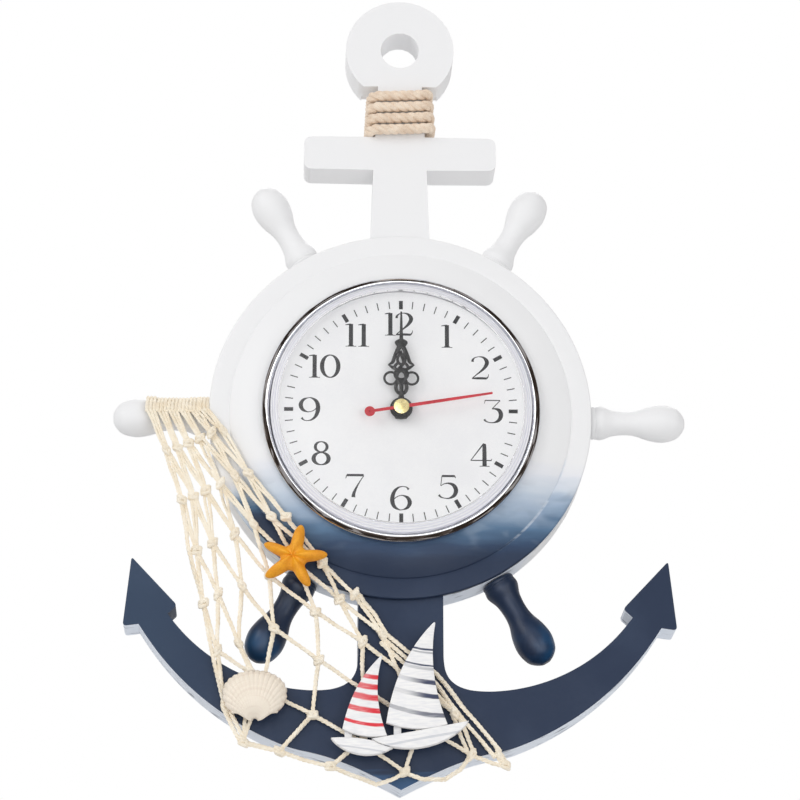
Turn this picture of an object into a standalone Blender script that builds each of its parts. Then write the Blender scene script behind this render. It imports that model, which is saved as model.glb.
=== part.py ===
"""Anchor wall clock: a painted anchor board with a ship's wheel, a rope whipping, a fishing net with
ornaments, and a quartz clock insert with its hands, lens, bezel and movement.

Metres, +Z up, the face towards -Y, the wall plane at Y = 0. The origin is the point that hangs on the
hook: the top of the eye's hole, on the wall plane. Pieces are modelled in the face frame, an empty on
the clock's axis in the board's front plane: x to the right, y up, z towards the viewer.
"""
import math

import bmesh
import bpy
from mathutils import Matrix, Vector

# Board: one thickness, cut to the anchor's outline
BOARD_THICKNESS = 0.0150
CUT_OVERRUN = 0.0020
GLUE_GAP = 0.0003
EYE_RADIUS = 0.0219
EYE_HOLE_RADIUS = 0.0078
EYE_SHOULDER_DROP = 0.0162
NECK_TOP_HALF_WIDTH = 0.0088
NECK_FOOT_HALF_WIDTH = 0.0100
STOCK_TOP = 0.1180
STOCK_HEIGHT = 0.0141
STOCK_HALF_WIDTH = 0.0385
STOCK_CORNER_RADIUS = 0.0030
STOCK_JOINT_FLARE = 0.0002
SHANK_TOP_HALF_WIDTH = 0.0107
SHANK_RIM_HALF_WIDTH = 0.0117
SHANK_FOOT_HALF_WIDTH = 0.0162
WHEEL_ARC_STEPS = 26
SMALL_ARC_STEPS = 9
CORNER_STEPS = 4

# Arms: two arcs a side, drawn from their own centres, with arrow flukes and a pointed crown. The inner
# arc, the flukes and the crown's tip are shares of the outer radius, from the outer arc's centre.
ARM_HANDLE_CLEARANCE = 0.0006
ARM_OUTER_CENTRE = (0.0034, -0.0265)
ARM_OUTER_START = math.radians(-31.2)
ARM_OUTER_END = math.radians(-70.7)
ARM_INNER_RADIUS_SHARE = 0.6189
ARM_INNER_CENTRE_SHARES = (0.2529, -0.1247)
ARM_INNER_START = math.radians(-90.0)
ARM_INNER_END = math.radians(-35.2)
ARM_ROOT_HEIGHT = 0.0115
FLUKE_INNER_BARB_SHARES = (0.7266, -0.4515)
FLUKE_TIP_SHARES = (0.8851, -0.2823)
FLUKE_OUTER_BARB_SHARES = (0.9092, -0.5254)
CROWN_TIP_SHARE = 1.0801
CROWN_EDGE_SHARES = ((0.80, 0.10), (0.62, 0.24), (0.44, 0.43), (0.20, 0.72))

# Wheel moulding glued to the board's front: an outer band, a step, and a convex inner ring
MOULDING_BORE_GAP = 0.0004
MOULDING_WIDTH = 0.0235
MOULDING_BAND_WIDTH = 0.0082
MOULDING_BAND_HEIGHT = 0.0019
MOULDING_CREST_HEIGHT = 0.0060
MOULDING_STEPS = 44
# Shares of the way from the bore to the step, and of the rise from the band to the crest
MOULDING_CREST_SHARES = ((0.00, 1.00), (0.28, 1.00), (0.50, 0.84), (0.72, 0.55), (0.90, 0.24), (1.00, 0.05))
BAND_EDGE_SHARE = 0.60

# Six turned handles, dowelled into the board's rim
HANDLE_NAMES = ("handle_right", "handle_upper_right", "handle_upper_left",
                "handle_left", "handle_lower_left", "handle_lower_right")
HANDLE_DEPTH = 0.0073
HANDLE_LENGTH = 0.0372
HANDLE_RADIUS = 0.0074
DOWEL_RADIUS = 0.0032
DOWEL_LENGTH = 0.0160
HANDLE_STEPS = 12
# Shares of the handle's length from the rim and of its greatest radius, tip first
HANDLE_PROFILE_SHARES = ((1.000, 0.26), (0.965, 0.56), (0.900, 0.84), (0.765, 1.00), (0.620, 0.90),
                         (0.485, 0.68), (0.370, 0.62), (0.240, 0.68), (0.150, 0.85), (0.105, 0.90),
                         (0.065, 0.87))

# Rope whipping on the neck
ROPE_DIAMETER = 0.0044
ROPE_PITCH = 0.0049
ROPE_TURNS = 4
ROPE_POINTS = 24
ROPE_SIDE_GAP = 0.0003
ROPE_FOOT_GAP = 0.00045
NECK_SEAT_DEPTH = 0.0050

# Net: six strands, tied in rows, hung over the left handle; its reach is a share of the wheel's radius
NET_REACH_SHARE = 1.3423
NET_TOE = 0.0022
NET_CORD_RADIUS = 0.0009
NET_KNOT_RADIUS = 0.0014
NET_PLANE = 0.0018
NET_SKIN_SHARE = 0.86
# Each row's knots from the left: shares of the net's reach to the left of the clock's axis, and of
# its drop below it
NET_ROW_SHARES = (
    ((-0.970, 0.006), (-0.928, 0.006), (-0.886, 0.006), (-0.844, 0.006), (-0.802, 0.006), (-0.764, 0.006)),
    ((-0.905, -0.105), (-0.862, -0.098), (-0.820, -0.087),
     (-0.776, -0.073), (-0.732, -0.062), (-0.688, -0.054)),
    ((-0.841, -0.240), (-0.797, -0.229), (-0.750, -0.214),
     (-0.694, -0.198), (-0.640, -0.176), (-0.587, -0.162)),
    ((-0.780, -0.374), (-0.720, -0.353), (-0.636, -0.329),
     (-0.561, -0.300), (-0.498, -0.283), (-0.437, -0.277)),
    ((-0.750, -0.513), (-0.695, -0.488), (-0.605, -0.466),
     (-0.501, -0.439), (-0.392, -0.412), (-0.290, -0.379)),
    ((-0.695, -0.636), (-0.614, -0.615), (-0.482, -0.576),
     (-0.325, -0.532), (-0.234, -0.500), (-0.160, -0.474)),
    ((-0.661, -0.779), (-0.550, -0.718), (-0.420, -0.687),
     (-0.285, -0.652), (-0.134, -0.608), (-0.054, -0.582)),
    ((-0.582, -0.857), (-0.445, -0.813), (-0.310, -0.783),
     (-0.140, -0.753), (0.050, -0.727), (0.212, -0.785)),
    ((-0.445, -0.890), (-0.265, -0.918), (-0.085, -0.962),
     (0.100, -0.930), (0.262, -0.890), (0.385, -0.886)),
)
NET_STEP_MARGIN = 0.0025
NET_RIM_SHARE = 0.40
HEAD_GAP = 0.0022
HEAD_CLEARANCE = 0.0007
HEAD_REACH_SHARE = 0.90
HEAD_ANGLES = (math.radians(38), math.radians(68), math.radians(98), math.radians(126))

# Starfish glued on the net, one arm over the wheel moulding
STARFISH_PLACE_SHARES = (-0.4095, -0.4020)
STARFISH_RADIUS = 0.0130
STARFISH_HEIGHT = 0.0044
STARFISH_SEAT_GAP = 0.0005
STARFISH_TILT = math.radians(-12)
STARFISH_ARM_ANGLES = tuple(math.radians(angle) for angle in (2, 77, 153, 213, 298))
STARFISH_NOTCH_SHARE = 0.40
STARFISH_BACK_SHARE = 0.30
STARFISH_ARM_POWER = 1.5
STARFISH_STEPS = 20
STARFISH_RINGS = 8

# Scallop shell on the net
SHELL_PLACE_SHARES = (-0.5490, -0.8213)
SHELL_RADIUS = 0.0182
SHELL_HINGE_RADIUS = 0.0022
SHELL_SPREAD = math.radians(65)
SHELL_WAIST_SHARE = 0.55
SHELL_TURN = math.radians(2)
SHELL_DOME = 0.0052
SHELL_WALL = 0.0012
SHELL_LIFT = 0.0024
SHELL_RIBS = 9
SHELL_RIB_HEIGHT = 0.0005
SHELL_RINGS = 5
SHELL_ROUND_SHARE = 0.98
SHELL_SIDE_DROP_SHARE = 0.60

# Two sailing boats on the net, placed from one point of it
BOATS_PLACE_SHARES = (0.0, -0.8500)
BOAT_BACK = 0.0036
BOAT_MAST_THICKNESS = 0.0012
BOAT_MAST_WIDTH = 0.0028
BOAT_SAIL_THICKNESS = 0.0020
BOAT_HULL_THICKNESS = 0.0028
BOAT_SEAT_GAP = 0.0003
SMALL_SAIL_FOOT = (-0.0222, 0.0013)
SMALL_SAIL_SIZE = (0.0168, 0.0289)
SMALL_SAIL_LEAN = 0.0118
SMALL_SAIL_TURN = math.radians(-5)
LARGE_SAIL_FOOT = (-0.0058, 0.0038)
LARGE_SAIL_SIZE = (0.0229, 0.0380)
LARGE_SAIL_LEAN = 0.0192
LARGE_SAIL_TURN = math.radians(2)
SAIL_LEECH_SHARE = 0.13
SAIL_LUFF_SHARE = 0.25
SAIL_FOOT_SHARE = 0.05
SMALL_HULL_END = (-0.0264, -0.0028)
SMALL_HULL_LENGTH = 0.0225
SMALL_HULL_DEPTH = 0.0048
SMALL_HULL_TURN = math.radians(-5)
LARGE_HULL_END = (-0.0112, -0.0024)
LARGE_HULL_LENGTH = 0.0368
LARGE_HULL_DEPTH = 0.0065
LARGE_HULL_TURN = math.radians(11)
HULL_SHEER_SHARE = 0.15
HULL_BELLY_POWER = 0.8
SMALL_MAST_FOOT = (-0.0199, -0.0050)
SMALL_MAST_HEIGHT = 0.0140
LARGE_MAST_FOOT = (-0.0015, -0.0030)
LARGE_MAST_HEIGHT = 0.0180
OUTLINE_STEPS = 8

# Clock insert: housing, gasket, dial, lens and bezel, all turned about the clock's axis
INSERT_STEPS = 44
HIDDEN_STEPS = 32
HOUSING_FLANGE_WIDTH = 0.0047
HOUSING_RIM_HEIGHT = 0.0080
HOUSING_RIM_WALL = 0.0012
HOUSING_CASE_GAP = 0.0050
HOUSING_BODY_WALL = 0.0013
HOUSING_BODY_DEPTH = 0.0130
FLOOR_TOP = 0.0048
FLOOR_THICKNESS = 0.0010
GASKET_WALL = 0.0010
GASKET_TOP = 0.0020
GASKET_WIDTH = 0.0060
DIAL_GAP = 0.0004
DIAL_THICKNESS = 0.0004
LENS_TOP = 0.0128
LENS_THICKNESS = 0.0014
LENS_BEVEL_WIDTH = 0.0032
LENS_SHOULDER_HEIGHT = 0.0106
LENS_SKIRT_WALL = 0.0012
BEZEL_WIDTH = 0.00305
BEZEL_BORE_GAP = 0.00035
BEZEL_SIDE_HEIGHT = 0.0022
BEZEL_CREST_HEIGHT = 0.0040

# Concentric arbors, from the middle out, and what they carry
ARBOR_GAP = 0.0003
SECONDS_ARBOR_RADIUS = 0.00045
MINUTE_ARBOR_RADIUS = 0.00135
HOUR_TUBE_RADIUS = 0.00225
BUSH_RADIUS = 0.0034
BUSH_TOP = 0.0072
NUT_RADIUS = 0.0046
NUT_SIDES = 6
HOUR_HAND_HEIGHT = 0.0079
MINUTE_HAND_HEIGHT = 0.0089
SECOND_HAND_HEIGHT = 0.0099
HAND_THICKNESS = 0.0004
HOUR_HAND_LENGTH = 0.0285
MINUTE_HAND_LENGTH = 0.0395
SECOND_HAND_LENGTH = 0.0358
SECOND_HAND_WIDTH = 0.0009
SECOND_HAND_HUB_RADIUS = 0.0022
COUNTERWEIGHT_RADIUS = 0.00205
COUNTERWEIGHT_REACH = 0.0124
SECOND_HAND_ANGLE = math.radians(-80.4)
CAP_RADIUS = 0.0030
CAP_HEIGHT = 0.0007
HOUR_HUB_RADIUS = 0.0044
MINUTE_HUB_RADIUS = 0.0036
# Half outlines of the two filigree hands: shares of the length from the axis, and of the hub's radius
HOUR_HAND_SHARES = ((0.15, 0.36), (0.19, 0.26), (0.24, 0.52), (0.30, 0.60), (0.34, 0.36), (0.37, 0.96),
                    (0.41, 1.52), (0.46, 1.56), (0.51, 1.12), (0.55, 0.62), (0.60, 0.98), (0.635, 1.16),
                    (0.66, 0.72), (0.72, 0.68), (0.79, 0.58), (0.86, 0.26), (0.90, 0.40), (0.95, 0.36),
                    (0.98, 0.14))
HOUR_HAND_HOLE_SHARES = ((0.285, 0.00, 0.30), (0.437, 0.98, 0.33), (0.437, -0.98, 0.33), (0.487, 0.00, 0.34),
                         (0.745, 0.00, 0.34))
MINUTE_HAND_SHARES = ((0.12, 0.34), (0.20, 0.24), (0.30, 0.22), (0.36, 0.60), (0.40, 0.92), (0.45, 1.00),
                      (0.50, 0.66), (0.53, 0.36), (0.58, 0.62), (0.62, 0.60), (0.67, 0.28), (0.72, 0.20),
                      (0.86, 0.14), (0.97, 0.08))
MINUTE_HAND_HOLE_SHARES = ((0.430, 0.46, 0.26), (0.430, -0.46, 0.26), (0.600, 0.00, 0.30))
HAND_HOLE_STEPS = 10

# Movement: a square case with the battery's bay below and the wheels above
CASE_TOP = 0.0035
CASE_LIP = 0.0001
CASE_WALL = 0.0012
CASE_PARTITION = 0.0010
COVER_THICKNESS = 0.0009
COVER_GAP = 0.0003
BATTERY_RADIUS = 0.00725
BATTERY_LENGTH = 0.0490
BATTERY_TIP_LENGTH = 0.0015
BATTERY_TIP_RADIUS = 0.0027
BATTERY_GAP = 0.0004
CONTACT_ROOM = 0.0023
CONTACT_THICKNESS = 0.0004
CONTACT_WIDTH = 0.0080
CONTACT_HEIGHT = 0.0090
BEARING_DEPTH = 0.0007
BEARING_GAP = 0.0002
PIVOT_RADIUS = 0.00035
ARBOR_STEPS = 10

# Wheels: teeth, the two centre distances that their modules follow, and their places along the axis
TRAIN_DISTANCE = 0.0093
ROTOR_DISTANCE = 0.0060
MOTION_DISTANCE = 0.0070
THIRD_ANGLE = math.radians(0)
INTERMEDIATE_ANGLE = math.radians(110)
ROTOR_ANGLE = math.radians(70)
MOTION_ANGLE = math.radians(180)
PINION_TEETH = 8
ROTOR_WHEEL_TEETH = 40
INTERMEDIATE_PINION_TEETH = 10
SECONDS_WHEEL_TEETH = 60
THIRD_WHEEL_TEETH = 64
CENTRE_WHEEL_TEETH = 60
CANNON_TEETH = 10
MINUTE_WHEEL_TEETH = 30
HOUR_WHEEL_TEETH = 32
SETTING_TEETH = 10
TOOTH_ROOT_SHARE = 1.15
TOOTH_TIP_SHARE = 0.65
TOOTH_FOOT_SHARE = 0.56
TOOTH_LAND_SHARE = 0.16
MOST_BLUNT_TEETH = 12
WHEEL_THICKNESS = 0.0008
PINION_THICKNESS = 0.0014
HOUR_WHEEL_LEVEL = 0.0004
MINUTE_WHEEL_LEVEL = -0.0010
CENTRE_WHEEL_LEVEL = -0.0026
THIRD_WHEEL_LEVEL = -0.0046
SECONDS_WHEEL_LEVEL = -0.0064
INTERMEDIATE_WHEEL_LEVEL = -0.0084
ROTOR_MAGNET_RADIUS = 0.0024
ROTOR_MAGNET_LENGTH = 0.0026
KNOB_RADIUS = 0.0045
KNOB_HEIGHT = 0.0018
KNOB_STEM_RADIUS = 0.0012
KNOB_GRIPS = 12
KNOB_GROOVE_SHARE = 0.90
STATOR_THICKNESS = 0.0008
STATOR_FOOT = 0.0112
STATOR_HEAD_GAP = 0.0036
STATOR_HALF_WIDTH = 0.0175
STATOR_LEG_WIDTH = 0.0035
STATOR_BAR_HEIGHT = 0.0062
STATOR_HOLE_GAP = 0.0005
COIL_RADIUS = 0.0030
COIL_HALF_LENGTH = 0.0125
COIL_FLANGE_RADIUS = 0.0034
COIL_FLANGE_WIDTH = 0.0010
COIL_CORE_HALF_LENGTH = 0.0172
COIL_CORE_WIDTH = 0.0024
CIRCUIT_WALL_GAP = 0.0008
CIRCUIT_SIZE = (0.0076, 0.0160)
CIRCUIT_THICKNESS = 0.0010
CIRCUIT_COVER_GAP = 0.0021
CRYSTAL_RADIUS = 0.0010
CRYSTAL_LENGTH = 0.0060

# What follows from the sizes above: the insert is built out from its cell, and the board round it
CASE_HALF_WIDTH = BATTERY_LENGTH / 2 + CONTACT_ROOM + CASE_WALL
HOUSING_BODY_RADIUS = math.sqrt(2) * CASE_HALF_WIDTH + HOUSING_CASE_GAP + HOUSING_BODY_WALL
BOARD_BORE_RADIUS = HOUSING_BODY_RADIUS + GASKET_WALL + 2 * GLUE_GAP
INSERT_RADIUS = HOUSING_BODY_RADIUS + HOUSING_FLANGE_WIDTH
DIAL_RADIUS = INSERT_RADIUS - HOUSING_RIM_WALL - DIAL_GAP
LENS_FLAT_RADIUS = INSERT_RADIUS - LENS_BEVEL_WIDTH
BEZEL_RADIUS = INSERT_RADIUS + BEZEL_BORE_GAP + BEZEL_WIDTH
MOULDING_BORE_RADIUS = INSERT_RADIUS + MOULDING_BORE_GAP
WHEEL_RADIUS = MOULDING_BORE_RADIUS + MOULDING_WIDTH
MOULDING_STEP_RADIUS = WHEEL_RADIUS - MOULDING_BAND_WIDTH
CASE_DEPTH = CASE_WALL + BATTERY_GAP + 2 * BATTERY_RADIUS + CASE_LIP
CIRCUIT_LEVEL = CASE_TOP - CASE_DEPTH + COVER_THICKNESS + CIRCUIT_COVER_GAP + CIRCUIT_THICKNESS / 2
STATOR_HEAD = CASE_HALF_WIDTH - CASE_WALL - STATOR_HEAD_GAP
CIRCUIT_CENTRE = (CASE_HALF_WIDTH - CASE_WALL - CIRCUIT_WALL_GAP - CIRCUIT_SIZE[0] / 2, 0.0)
EYE_SHOULDER_HEIGHT = (STOCK_TOP + (ROPE_TURNS - 1 / 2) * ROPE_PITCH + ROPE_DIAMETER + ROPE_SIDE_GAP
                       + ROPE_FOOT_GAP)
EYE_HEIGHT = EYE_SHOULDER_HEIGHT + EYE_SHOULDER_DROP
CLOCK_DROP = EYE_HEIGHT + EYE_HOLE_RADIUS
ARM_OUTER_RADIUS = WHEEL_RADIUS + HANDLE_LENGTH + ARM_HANDLE_CLEARANCE
NET_REACH = WHEEL_RADIUS * NET_REACH_SHARE
NET_DROP = ARM_OUTER_RADIUS * CROWN_TIP_SHARE - ARM_OUTER_CENTRE[1] + NET_TOE

COLOURS = {
    "paint_white": ((0.86, 0.87, 0.88), 0.55, 0.0),
    "paint_navy": ((0.027, 0.045, 0.092), 0.45, 0.0),
    "rope": ((0.78, 0.63, 0.45), 0.90, 0.0),
    "net_cotton": ((0.81, 0.70, 0.55), 0.90, 0.0),
    "starfish": ((0.90, 0.36, 0.02), 0.65, 0.0),
    "shell": ((0.87, 0.77, 0.68), 0.45, 0.0),
    "boat_wood": ((0.82, 0.82, 0.84), 0.60, 0.0),
    "black_plastic": ((0.03, 0.03, 0.03), 0.45, 0.0),
    "white_plastic": ((0.82, 0.82, 0.80), 0.40, 0.0),
    "rubber": ((0.02, 0.02, 0.02), 0.80, 0.0),
    "chrome": ((0.80, 0.80, 0.82), 0.08, 1.0),
    "lens": ((0.95, 0.97, 0.98), 0.03, 0.0),
    "dial": ((0.85, 0.86, 0.87), 0.50, 0.0),
    "hand_black": ((0.015, 0.015, 0.015), 0.35, 0.0),
    "hand_red": ((0.58, 0.02, 0.045), 0.35, 0.0),
    "brass": ((0.78, 0.60, 0.26), 0.25, 1.0),
    "steel": ((0.60, 0.60, 0.62), 0.30, 1.0),
    "white_plastic": ((0.80, 0.80, 0.78), 0.45, 0.0),
    "copper": ((0.72, 0.30, 0.12), 0.35, 1.0),
    "circuit": ((0.05, 0.25, 0.10), 0.50, 0.0),
    "battery": ((0.10, 0.12, 0.14), 0.35, 0.0),
}


def clear_scene():
    for obj in list(bpy.data.objects):
        bpy.data.objects.remove(obj, do_unlink=True)


def make_collection(name):
    collection = bpy.data.collections.new(name)
    bpy.context.scene.collection.children.link(collection)
    return collection


clear_scene()
CLOCK = make_collection("anchor_wall_clock")
CUTTERS = make_collection("cutters")


def make_face_frame():
    """The empty on the clock's axis, in the board's front plane."""
    empty = bpy.data.objects.new("face_frame", None)
    empty.location = (0.0, -BOARD_THICKNESS, -CLOCK_DROP)
    empty.rotation_euler = (math.radians(90), 0.0, 0.0)
    CLOCK.objects.link(empty)
    return empty


FACE = make_face_frame()


def finish_material(part, finish):
    colour, roughness, metallic = COLOURS[finish]
    material = bpy.data.materials.new(part + "_" + finish)
    material.use_nodes = True
    shader = material.node_tree.nodes["Principled BSDF"]
    shader.inputs["Base Color"].default_value = (*colour, 1.0)
    shader.inputs["Roughness"].default_value = roughness
    shader.inputs["Metallic"].default_value = metallic
    return material


def add_piece(name, mesh, finish, place=(0.0, 0.0, 0.0), turn=0.0):
    """A named piece in the face frame, turned about its own z axis."""
    piece = bpy.data.objects.new(name, mesh)
    mesh.materials.append(finish_material(name, finish))
    piece.parent = FACE
    piece.location = place
    piece.rotation_euler = (0.0, 0.0, turn)
    CLOCK.objects.link(piece)
    return piece


def to_cutters(piece):
    """A piece that only cuts or joins another."""
    CLOCK.objects.unlink(piece)
    CUTTERS.objects.link(piece)
    piece.hide_render = True
    piece.display_type = "WIRE"
    return piece


def combine(piece, tool, operation):
    boolean = piece.modifiers.new(operation.lower(), "BOOLEAN")
    boolean.operation = operation
    boolean.solver = "EXACT"
    boolean.object = to_cutters(tool)
    return piece


def mesh_from(bm, name, sharp=math.radians(35)):
    mesh = bpy.data.meshes.new(name)
    bmesh.ops.recalc_face_normals(bm, faces=bm.faces)
    bm.to_mesh(mesh)
    bm.free()
    mesh.shade_smooth()
    mesh.set_sharp_from_angle(angle=sharp)
    return mesh


def turned_mesh(name, profile, closed):
    """A chain of (radius, z) points, ready for the Screw modifier."""
    bm = bmesh.new()
    points = [bm.verts.new((radius, 0.0, z)) for radius, z in profile]
    for first, second in zip(points, points[1:]):
        bm.edges.new((first, second))
    if closed:
        bm.edges.new((points[-1], points[0]))
    mesh = bpy.data.meshes.new(name)
    bm.to_mesh(mesh)
    bm.free()
    return mesh


def turned(name, profile, finish, steps, closed=False, place=(0.0, 0.0, 0.0)):
    piece = add_piece(name, turned_mesh(name, profile, closed), finish, place)
    screw = piece.modifiers.new("turn", "SCREW")
    screw.axis = "Z"
    screw.steps = steps
    screw.render_steps = steps
    screw.use_merge_vertices = True
    screw.merge_threshold = 0.00001
    screw.use_smooth_shade = True
    return piece


def flat_mesh(name, outlines, thickness):
    """A flat shape with holes: 2D outlines filled and given their thickness, as a mesh."""
    curve = bpy.data.curves.new(name + "_outline", "CURVE")
    curve.dimensions = "2D"
    curve.fill_mode = "BOTH"
    curve.extrude = thickness / 2
    for outline in outlines:
        spline = curve.splines.new("POLY")
        spline.points.add(len(outline) - 1)
        for point, (x, y) in zip(spline.points, outline):
            point.co = (x, y, 0.0, 1.0)
        spline.use_cyclic_u = True
    drawing = bpy.data.objects.new(name + "_outline", curve)
    CLOCK.objects.link(drawing)
    bpy.context.view_layer.update()
    evaluated = drawing.evaluated_get(bpy.context.evaluated_depsgraph_get())
    mesh = bpy.data.meshes.new_from_object(evaluated)
    bpy.data.objects.remove(drawing, do_unlink=True)
    bpy.data.curves.remove(curve)
    bm = bmesh.new()
    bm.from_mesh(mesh)
    bmesh.ops.remove_doubles(bm, verts=bm.verts, dist=0.000001)
    bmesh.ops.recalc_face_normals(bm, faces=bm.faces)
    bm.to_mesh(mesh)
    bm.free()
    mesh.materials.clear()
    return mesh


def flat_piece(name, outlines, thickness, back, finish, place=(0.0, 0.0), turn=0.0):
    """A flat piece whose back lies at the given height."""
    mesh = flat_mesh(name, outlines, thickness)
    return add_piece(name, mesh, finish, (place[0], place[1], back + thickness / 2), turn)


def box_piece(name, size, centre, finish):
    bm = bmesh.new()
    bmesh.ops.create_cube(bm, size=1.0)
    bmesh.ops.scale(bm, vec=size, verts=bm.verts)
    return add_piece(name, mesh_from(bm, name), finish, centre)


def rod_piece(name, radius, bottom, top, finish, place=(0.0, 0.0), steps=ARBOR_STEPS):
    bm = bmesh.new()
    bmesh.ops.create_cone(bm, cap_ends=True, segments=steps, radius1=radius, radius2=radius,
                          depth=top - bottom)
    return add_piece(name, mesh_from(bm, name), finish, (place[0], place[1], (top + bottom) / 2))


def circle(radius, steps, centre=(0.0, 0.0)):
    angles = [2 * math.pi * step / steps for step in range(steps)]
    return [(centre[0] + radius * math.cos(a), centre[1] + radius * math.sin(a)) for a in angles]


def arc(centre, radius, start, end, steps):
    angles = [start + (end - start) * step / steps for step in range(steps + 1)]
    return [(centre[0] + radius * math.cos(a), centre[1] + radius * math.sin(a)) for a in angles]


def bend(start, pull, end, steps):
    """Points of the parabola that leaves start towards pull and reaches end from it."""
    points = []
    for step in range(steps + 1):
        t = step / steps
        points.append(tuple((1 - t) ** 2 * a + 2 * t * (1 - t) * b + t * t * c
                            for a, b, c in zip(start, pull, end)))
    return points


def mirrored(half):
    """A whole outline from its right half, whose first and last points lie on the axis."""
    return half + [(-x, y) for x, y in reversed(half[1:-1])]


def arm_point(shares):
    """A point of the arm, from its shares of the outer radius."""
    return tuple(centre + ARM_OUTER_RADIUS * share for centre, share in zip(ARM_OUTER_CENTRE, shares))


def anchor_half():
    """The anchor's right half, from the top of the eye to the crown."""
    shoulder = -math.asin(EYE_SHOULDER_DROP / EYE_RADIUS)
    half = arc((0.0, EYE_HEIGHT), EYE_RADIUS, math.radians(90), shoulder, 2 * SMALL_ARC_STEPS)
    half.append((NECK_TOP_HALF_WIDTH, EYE_SHOULDER_HEIGHT + STOCK_JOINT_FLARE))
    half.append((NECK_FOOT_HALF_WIDTH, STOCK_TOP + STOCK_JOINT_FLARE))
    corner_x = STOCK_HALF_WIDTH - STOCK_CORNER_RADIUS
    upper = (corner_x, STOCK_TOP - STOCK_CORNER_RADIUS)
    lower = (corner_x, STOCK_TOP - STOCK_HEIGHT + STOCK_CORNER_RADIUS)
    half += arc(upper, STOCK_CORNER_RADIUS, math.radians(90), 0.0, CORNER_STEPS)
    half += arc(lower, STOCK_CORNER_RADIUS, 0.0, math.radians(-90), CORNER_STEPS)
    half.append((SHANK_TOP_HALF_WIDTH, STOCK_TOP - STOCK_HEIGHT - STOCK_JOINT_FLARE))
    rim_top = math.acos(SHANK_RIM_HALF_WIDTH / WHEEL_RADIUS)
    rim_foot = -math.acos(SHANK_FOOT_HALF_WIDTH / WHEEL_RADIUS)
    half += arc((0.0, 0.0), WHEEL_RADIUS, rim_top, rim_foot, WHEEL_ARC_STEPS)
    inner = arc(arm_point(ARM_INNER_CENTRE_SHARES), ARM_OUTER_RADIUS * ARM_INNER_RADIUS_SHARE,
                ARM_INNER_START, ARM_INNER_END, SMALL_ARC_STEPS)
    root = (SHANK_FOOT_HALF_WIDTH, inner[0][1] + ARM_ROOT_HEIGHT)
    half += bend(root, (root[0], inner[0][1]), inner[0], CORNER_STEPS)[:-1]
    half += inner
    half += [arm_point(shares)
             for shares in (FLUKE_INNER_BARB_SHARES, FLUKE_TIP_SHARES, FLUKE_OUTER_BARB_SHARES)]
    outer = arc(ARM_OUTER_CENTRE, ARM_OUTER_RADIUS, ARM_OUTER_START, ARM_OUTER_END, SMALL_ARC_STEPS)
    half += outer
    crown_width, crown_top = outer[-1]
    crown_tip = arm_point((0.0, -CROWN_TIP_SHARE))[1]
    crown_depth = crown_top - crown_tip
    for across, down in CROWN_EDGE_SHARES:
        half.append((crown_width * across, crown_top - crown_depth * down))
    half.append((0.0, crown_tip))
    return half


def handle_places():
    """Each handle's name, its angle, and the matrix that puts its z axis outwards at the rim."""
    places = []
    for number, name in enumerate(HANDLE_NAMES):
        angle = 2 * math.pi * number / len(HANDLE_NAMES)
        outwards = Vector((math.cos(angle), math.sin(angle), 0.0))
        seat = outwards * WHEEL_RADIUS - Vector((0.0, 0.0, HANDLE_DEPTH))
        turn = outwards.to_track_quat("Z", "Y").to_matrix().to_4x4()
        places.append((name, Matrix.Translation(seat) @ turn))
    return places


def make_board():
    outlines = [mirrored(anchor_half()), circle(BOARD_BORE_RADIUS, INSERT_STEPS),
                circle(EYE_HOLE_RADIUS, 2 * SMALL_ARC_STEPS, (0.0, EYE_HEIGHT))]
    board = flat_piece("anchor_board", outlines, BOARD_THICKNESS, -BOARD_THICKNESS, "paint_white")
    bm = bmesh.new()
    hole_depth = DOWEL_LENGTH + GLUE_GAP
    for name, matrix in handle_places():
        middle = Matrix.Translation((0.0, 0.0, (CUT_OVERRUN - hole_depth) / 2))
        bmesh.ops.create_cone(bm, cap_ends=True, segments=HANDLE_STEPS, radius1=DOWEL_RADIUS + GLUE_GAP,
                              radius2=DOWEL_RADIUS + GLUE_GAP, depth=hole_depth + CUT_OVERRUN,
                              matrix=matrix @ middle)
    combine(board, add_piece("dowel_holes", mesh_from(bm, "dowel_holes"), "paint_white"), "DIFFERENCE")
    margin = ROPE_DIAMETER / 2 + ROPE_SIDE_GAP
    seat_centre = (0.0, rope_top() - ROPE_TURNS * ROPE_PITCH / 2,
                   (NECK_SEAT_DEPTH - CUT_OVERRUN) / 2 - BOARD_THICKNESS)
    seat_size = (2 * (NECK_FOOT_HALF_WIDTH + 2 * margin + ROPE_SIDE_GAP),
                 ROPE_TURNS * ROPE_PITCH + 2 * margin, NECK_SEAT_DEPTH + CUT_OVERRUN)
    seat = box_piece("neck_seat", seat_size, seat_centre, "paint_white")
    return combine(board, seat, "DIFFERENCE")


def moulding_crest():
    """The convex ring's (radius, height) points from the bore out to the step."""
    reach = MOULDING_STEP_RADIUS - MOULDING_BORE_RADIUS
    rise = MOULDING_CREST_HEIGHT - MOULDING_BAND_HEIGHT
    return [(MOULDING_BORE_RADIUS + out * reach, MOULDING_BAND_HEIGHT + up * rise)
            for out, up in MOULDING_CREST_SHARES]


def moulding_height(radius):
    """The height of the wheel moulding's front, or of the board, at a distance from the axis."""
    crest = moulding_crest()
    if radius > WHEEL_RADIUS:
        return 0.0
    if radius > MOULDING_STEP_RADIUS:
        return MOULDING_BAND_HEIGHT
    for (inner, high), (outer, low) in zip(crest, crest[1:]):
        if radius >= inner and radius <= outer:
            return high + (low - high) * (radius - inner) / (outer - inner)
    return MOULDING_CREST_HEIGHT


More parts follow.
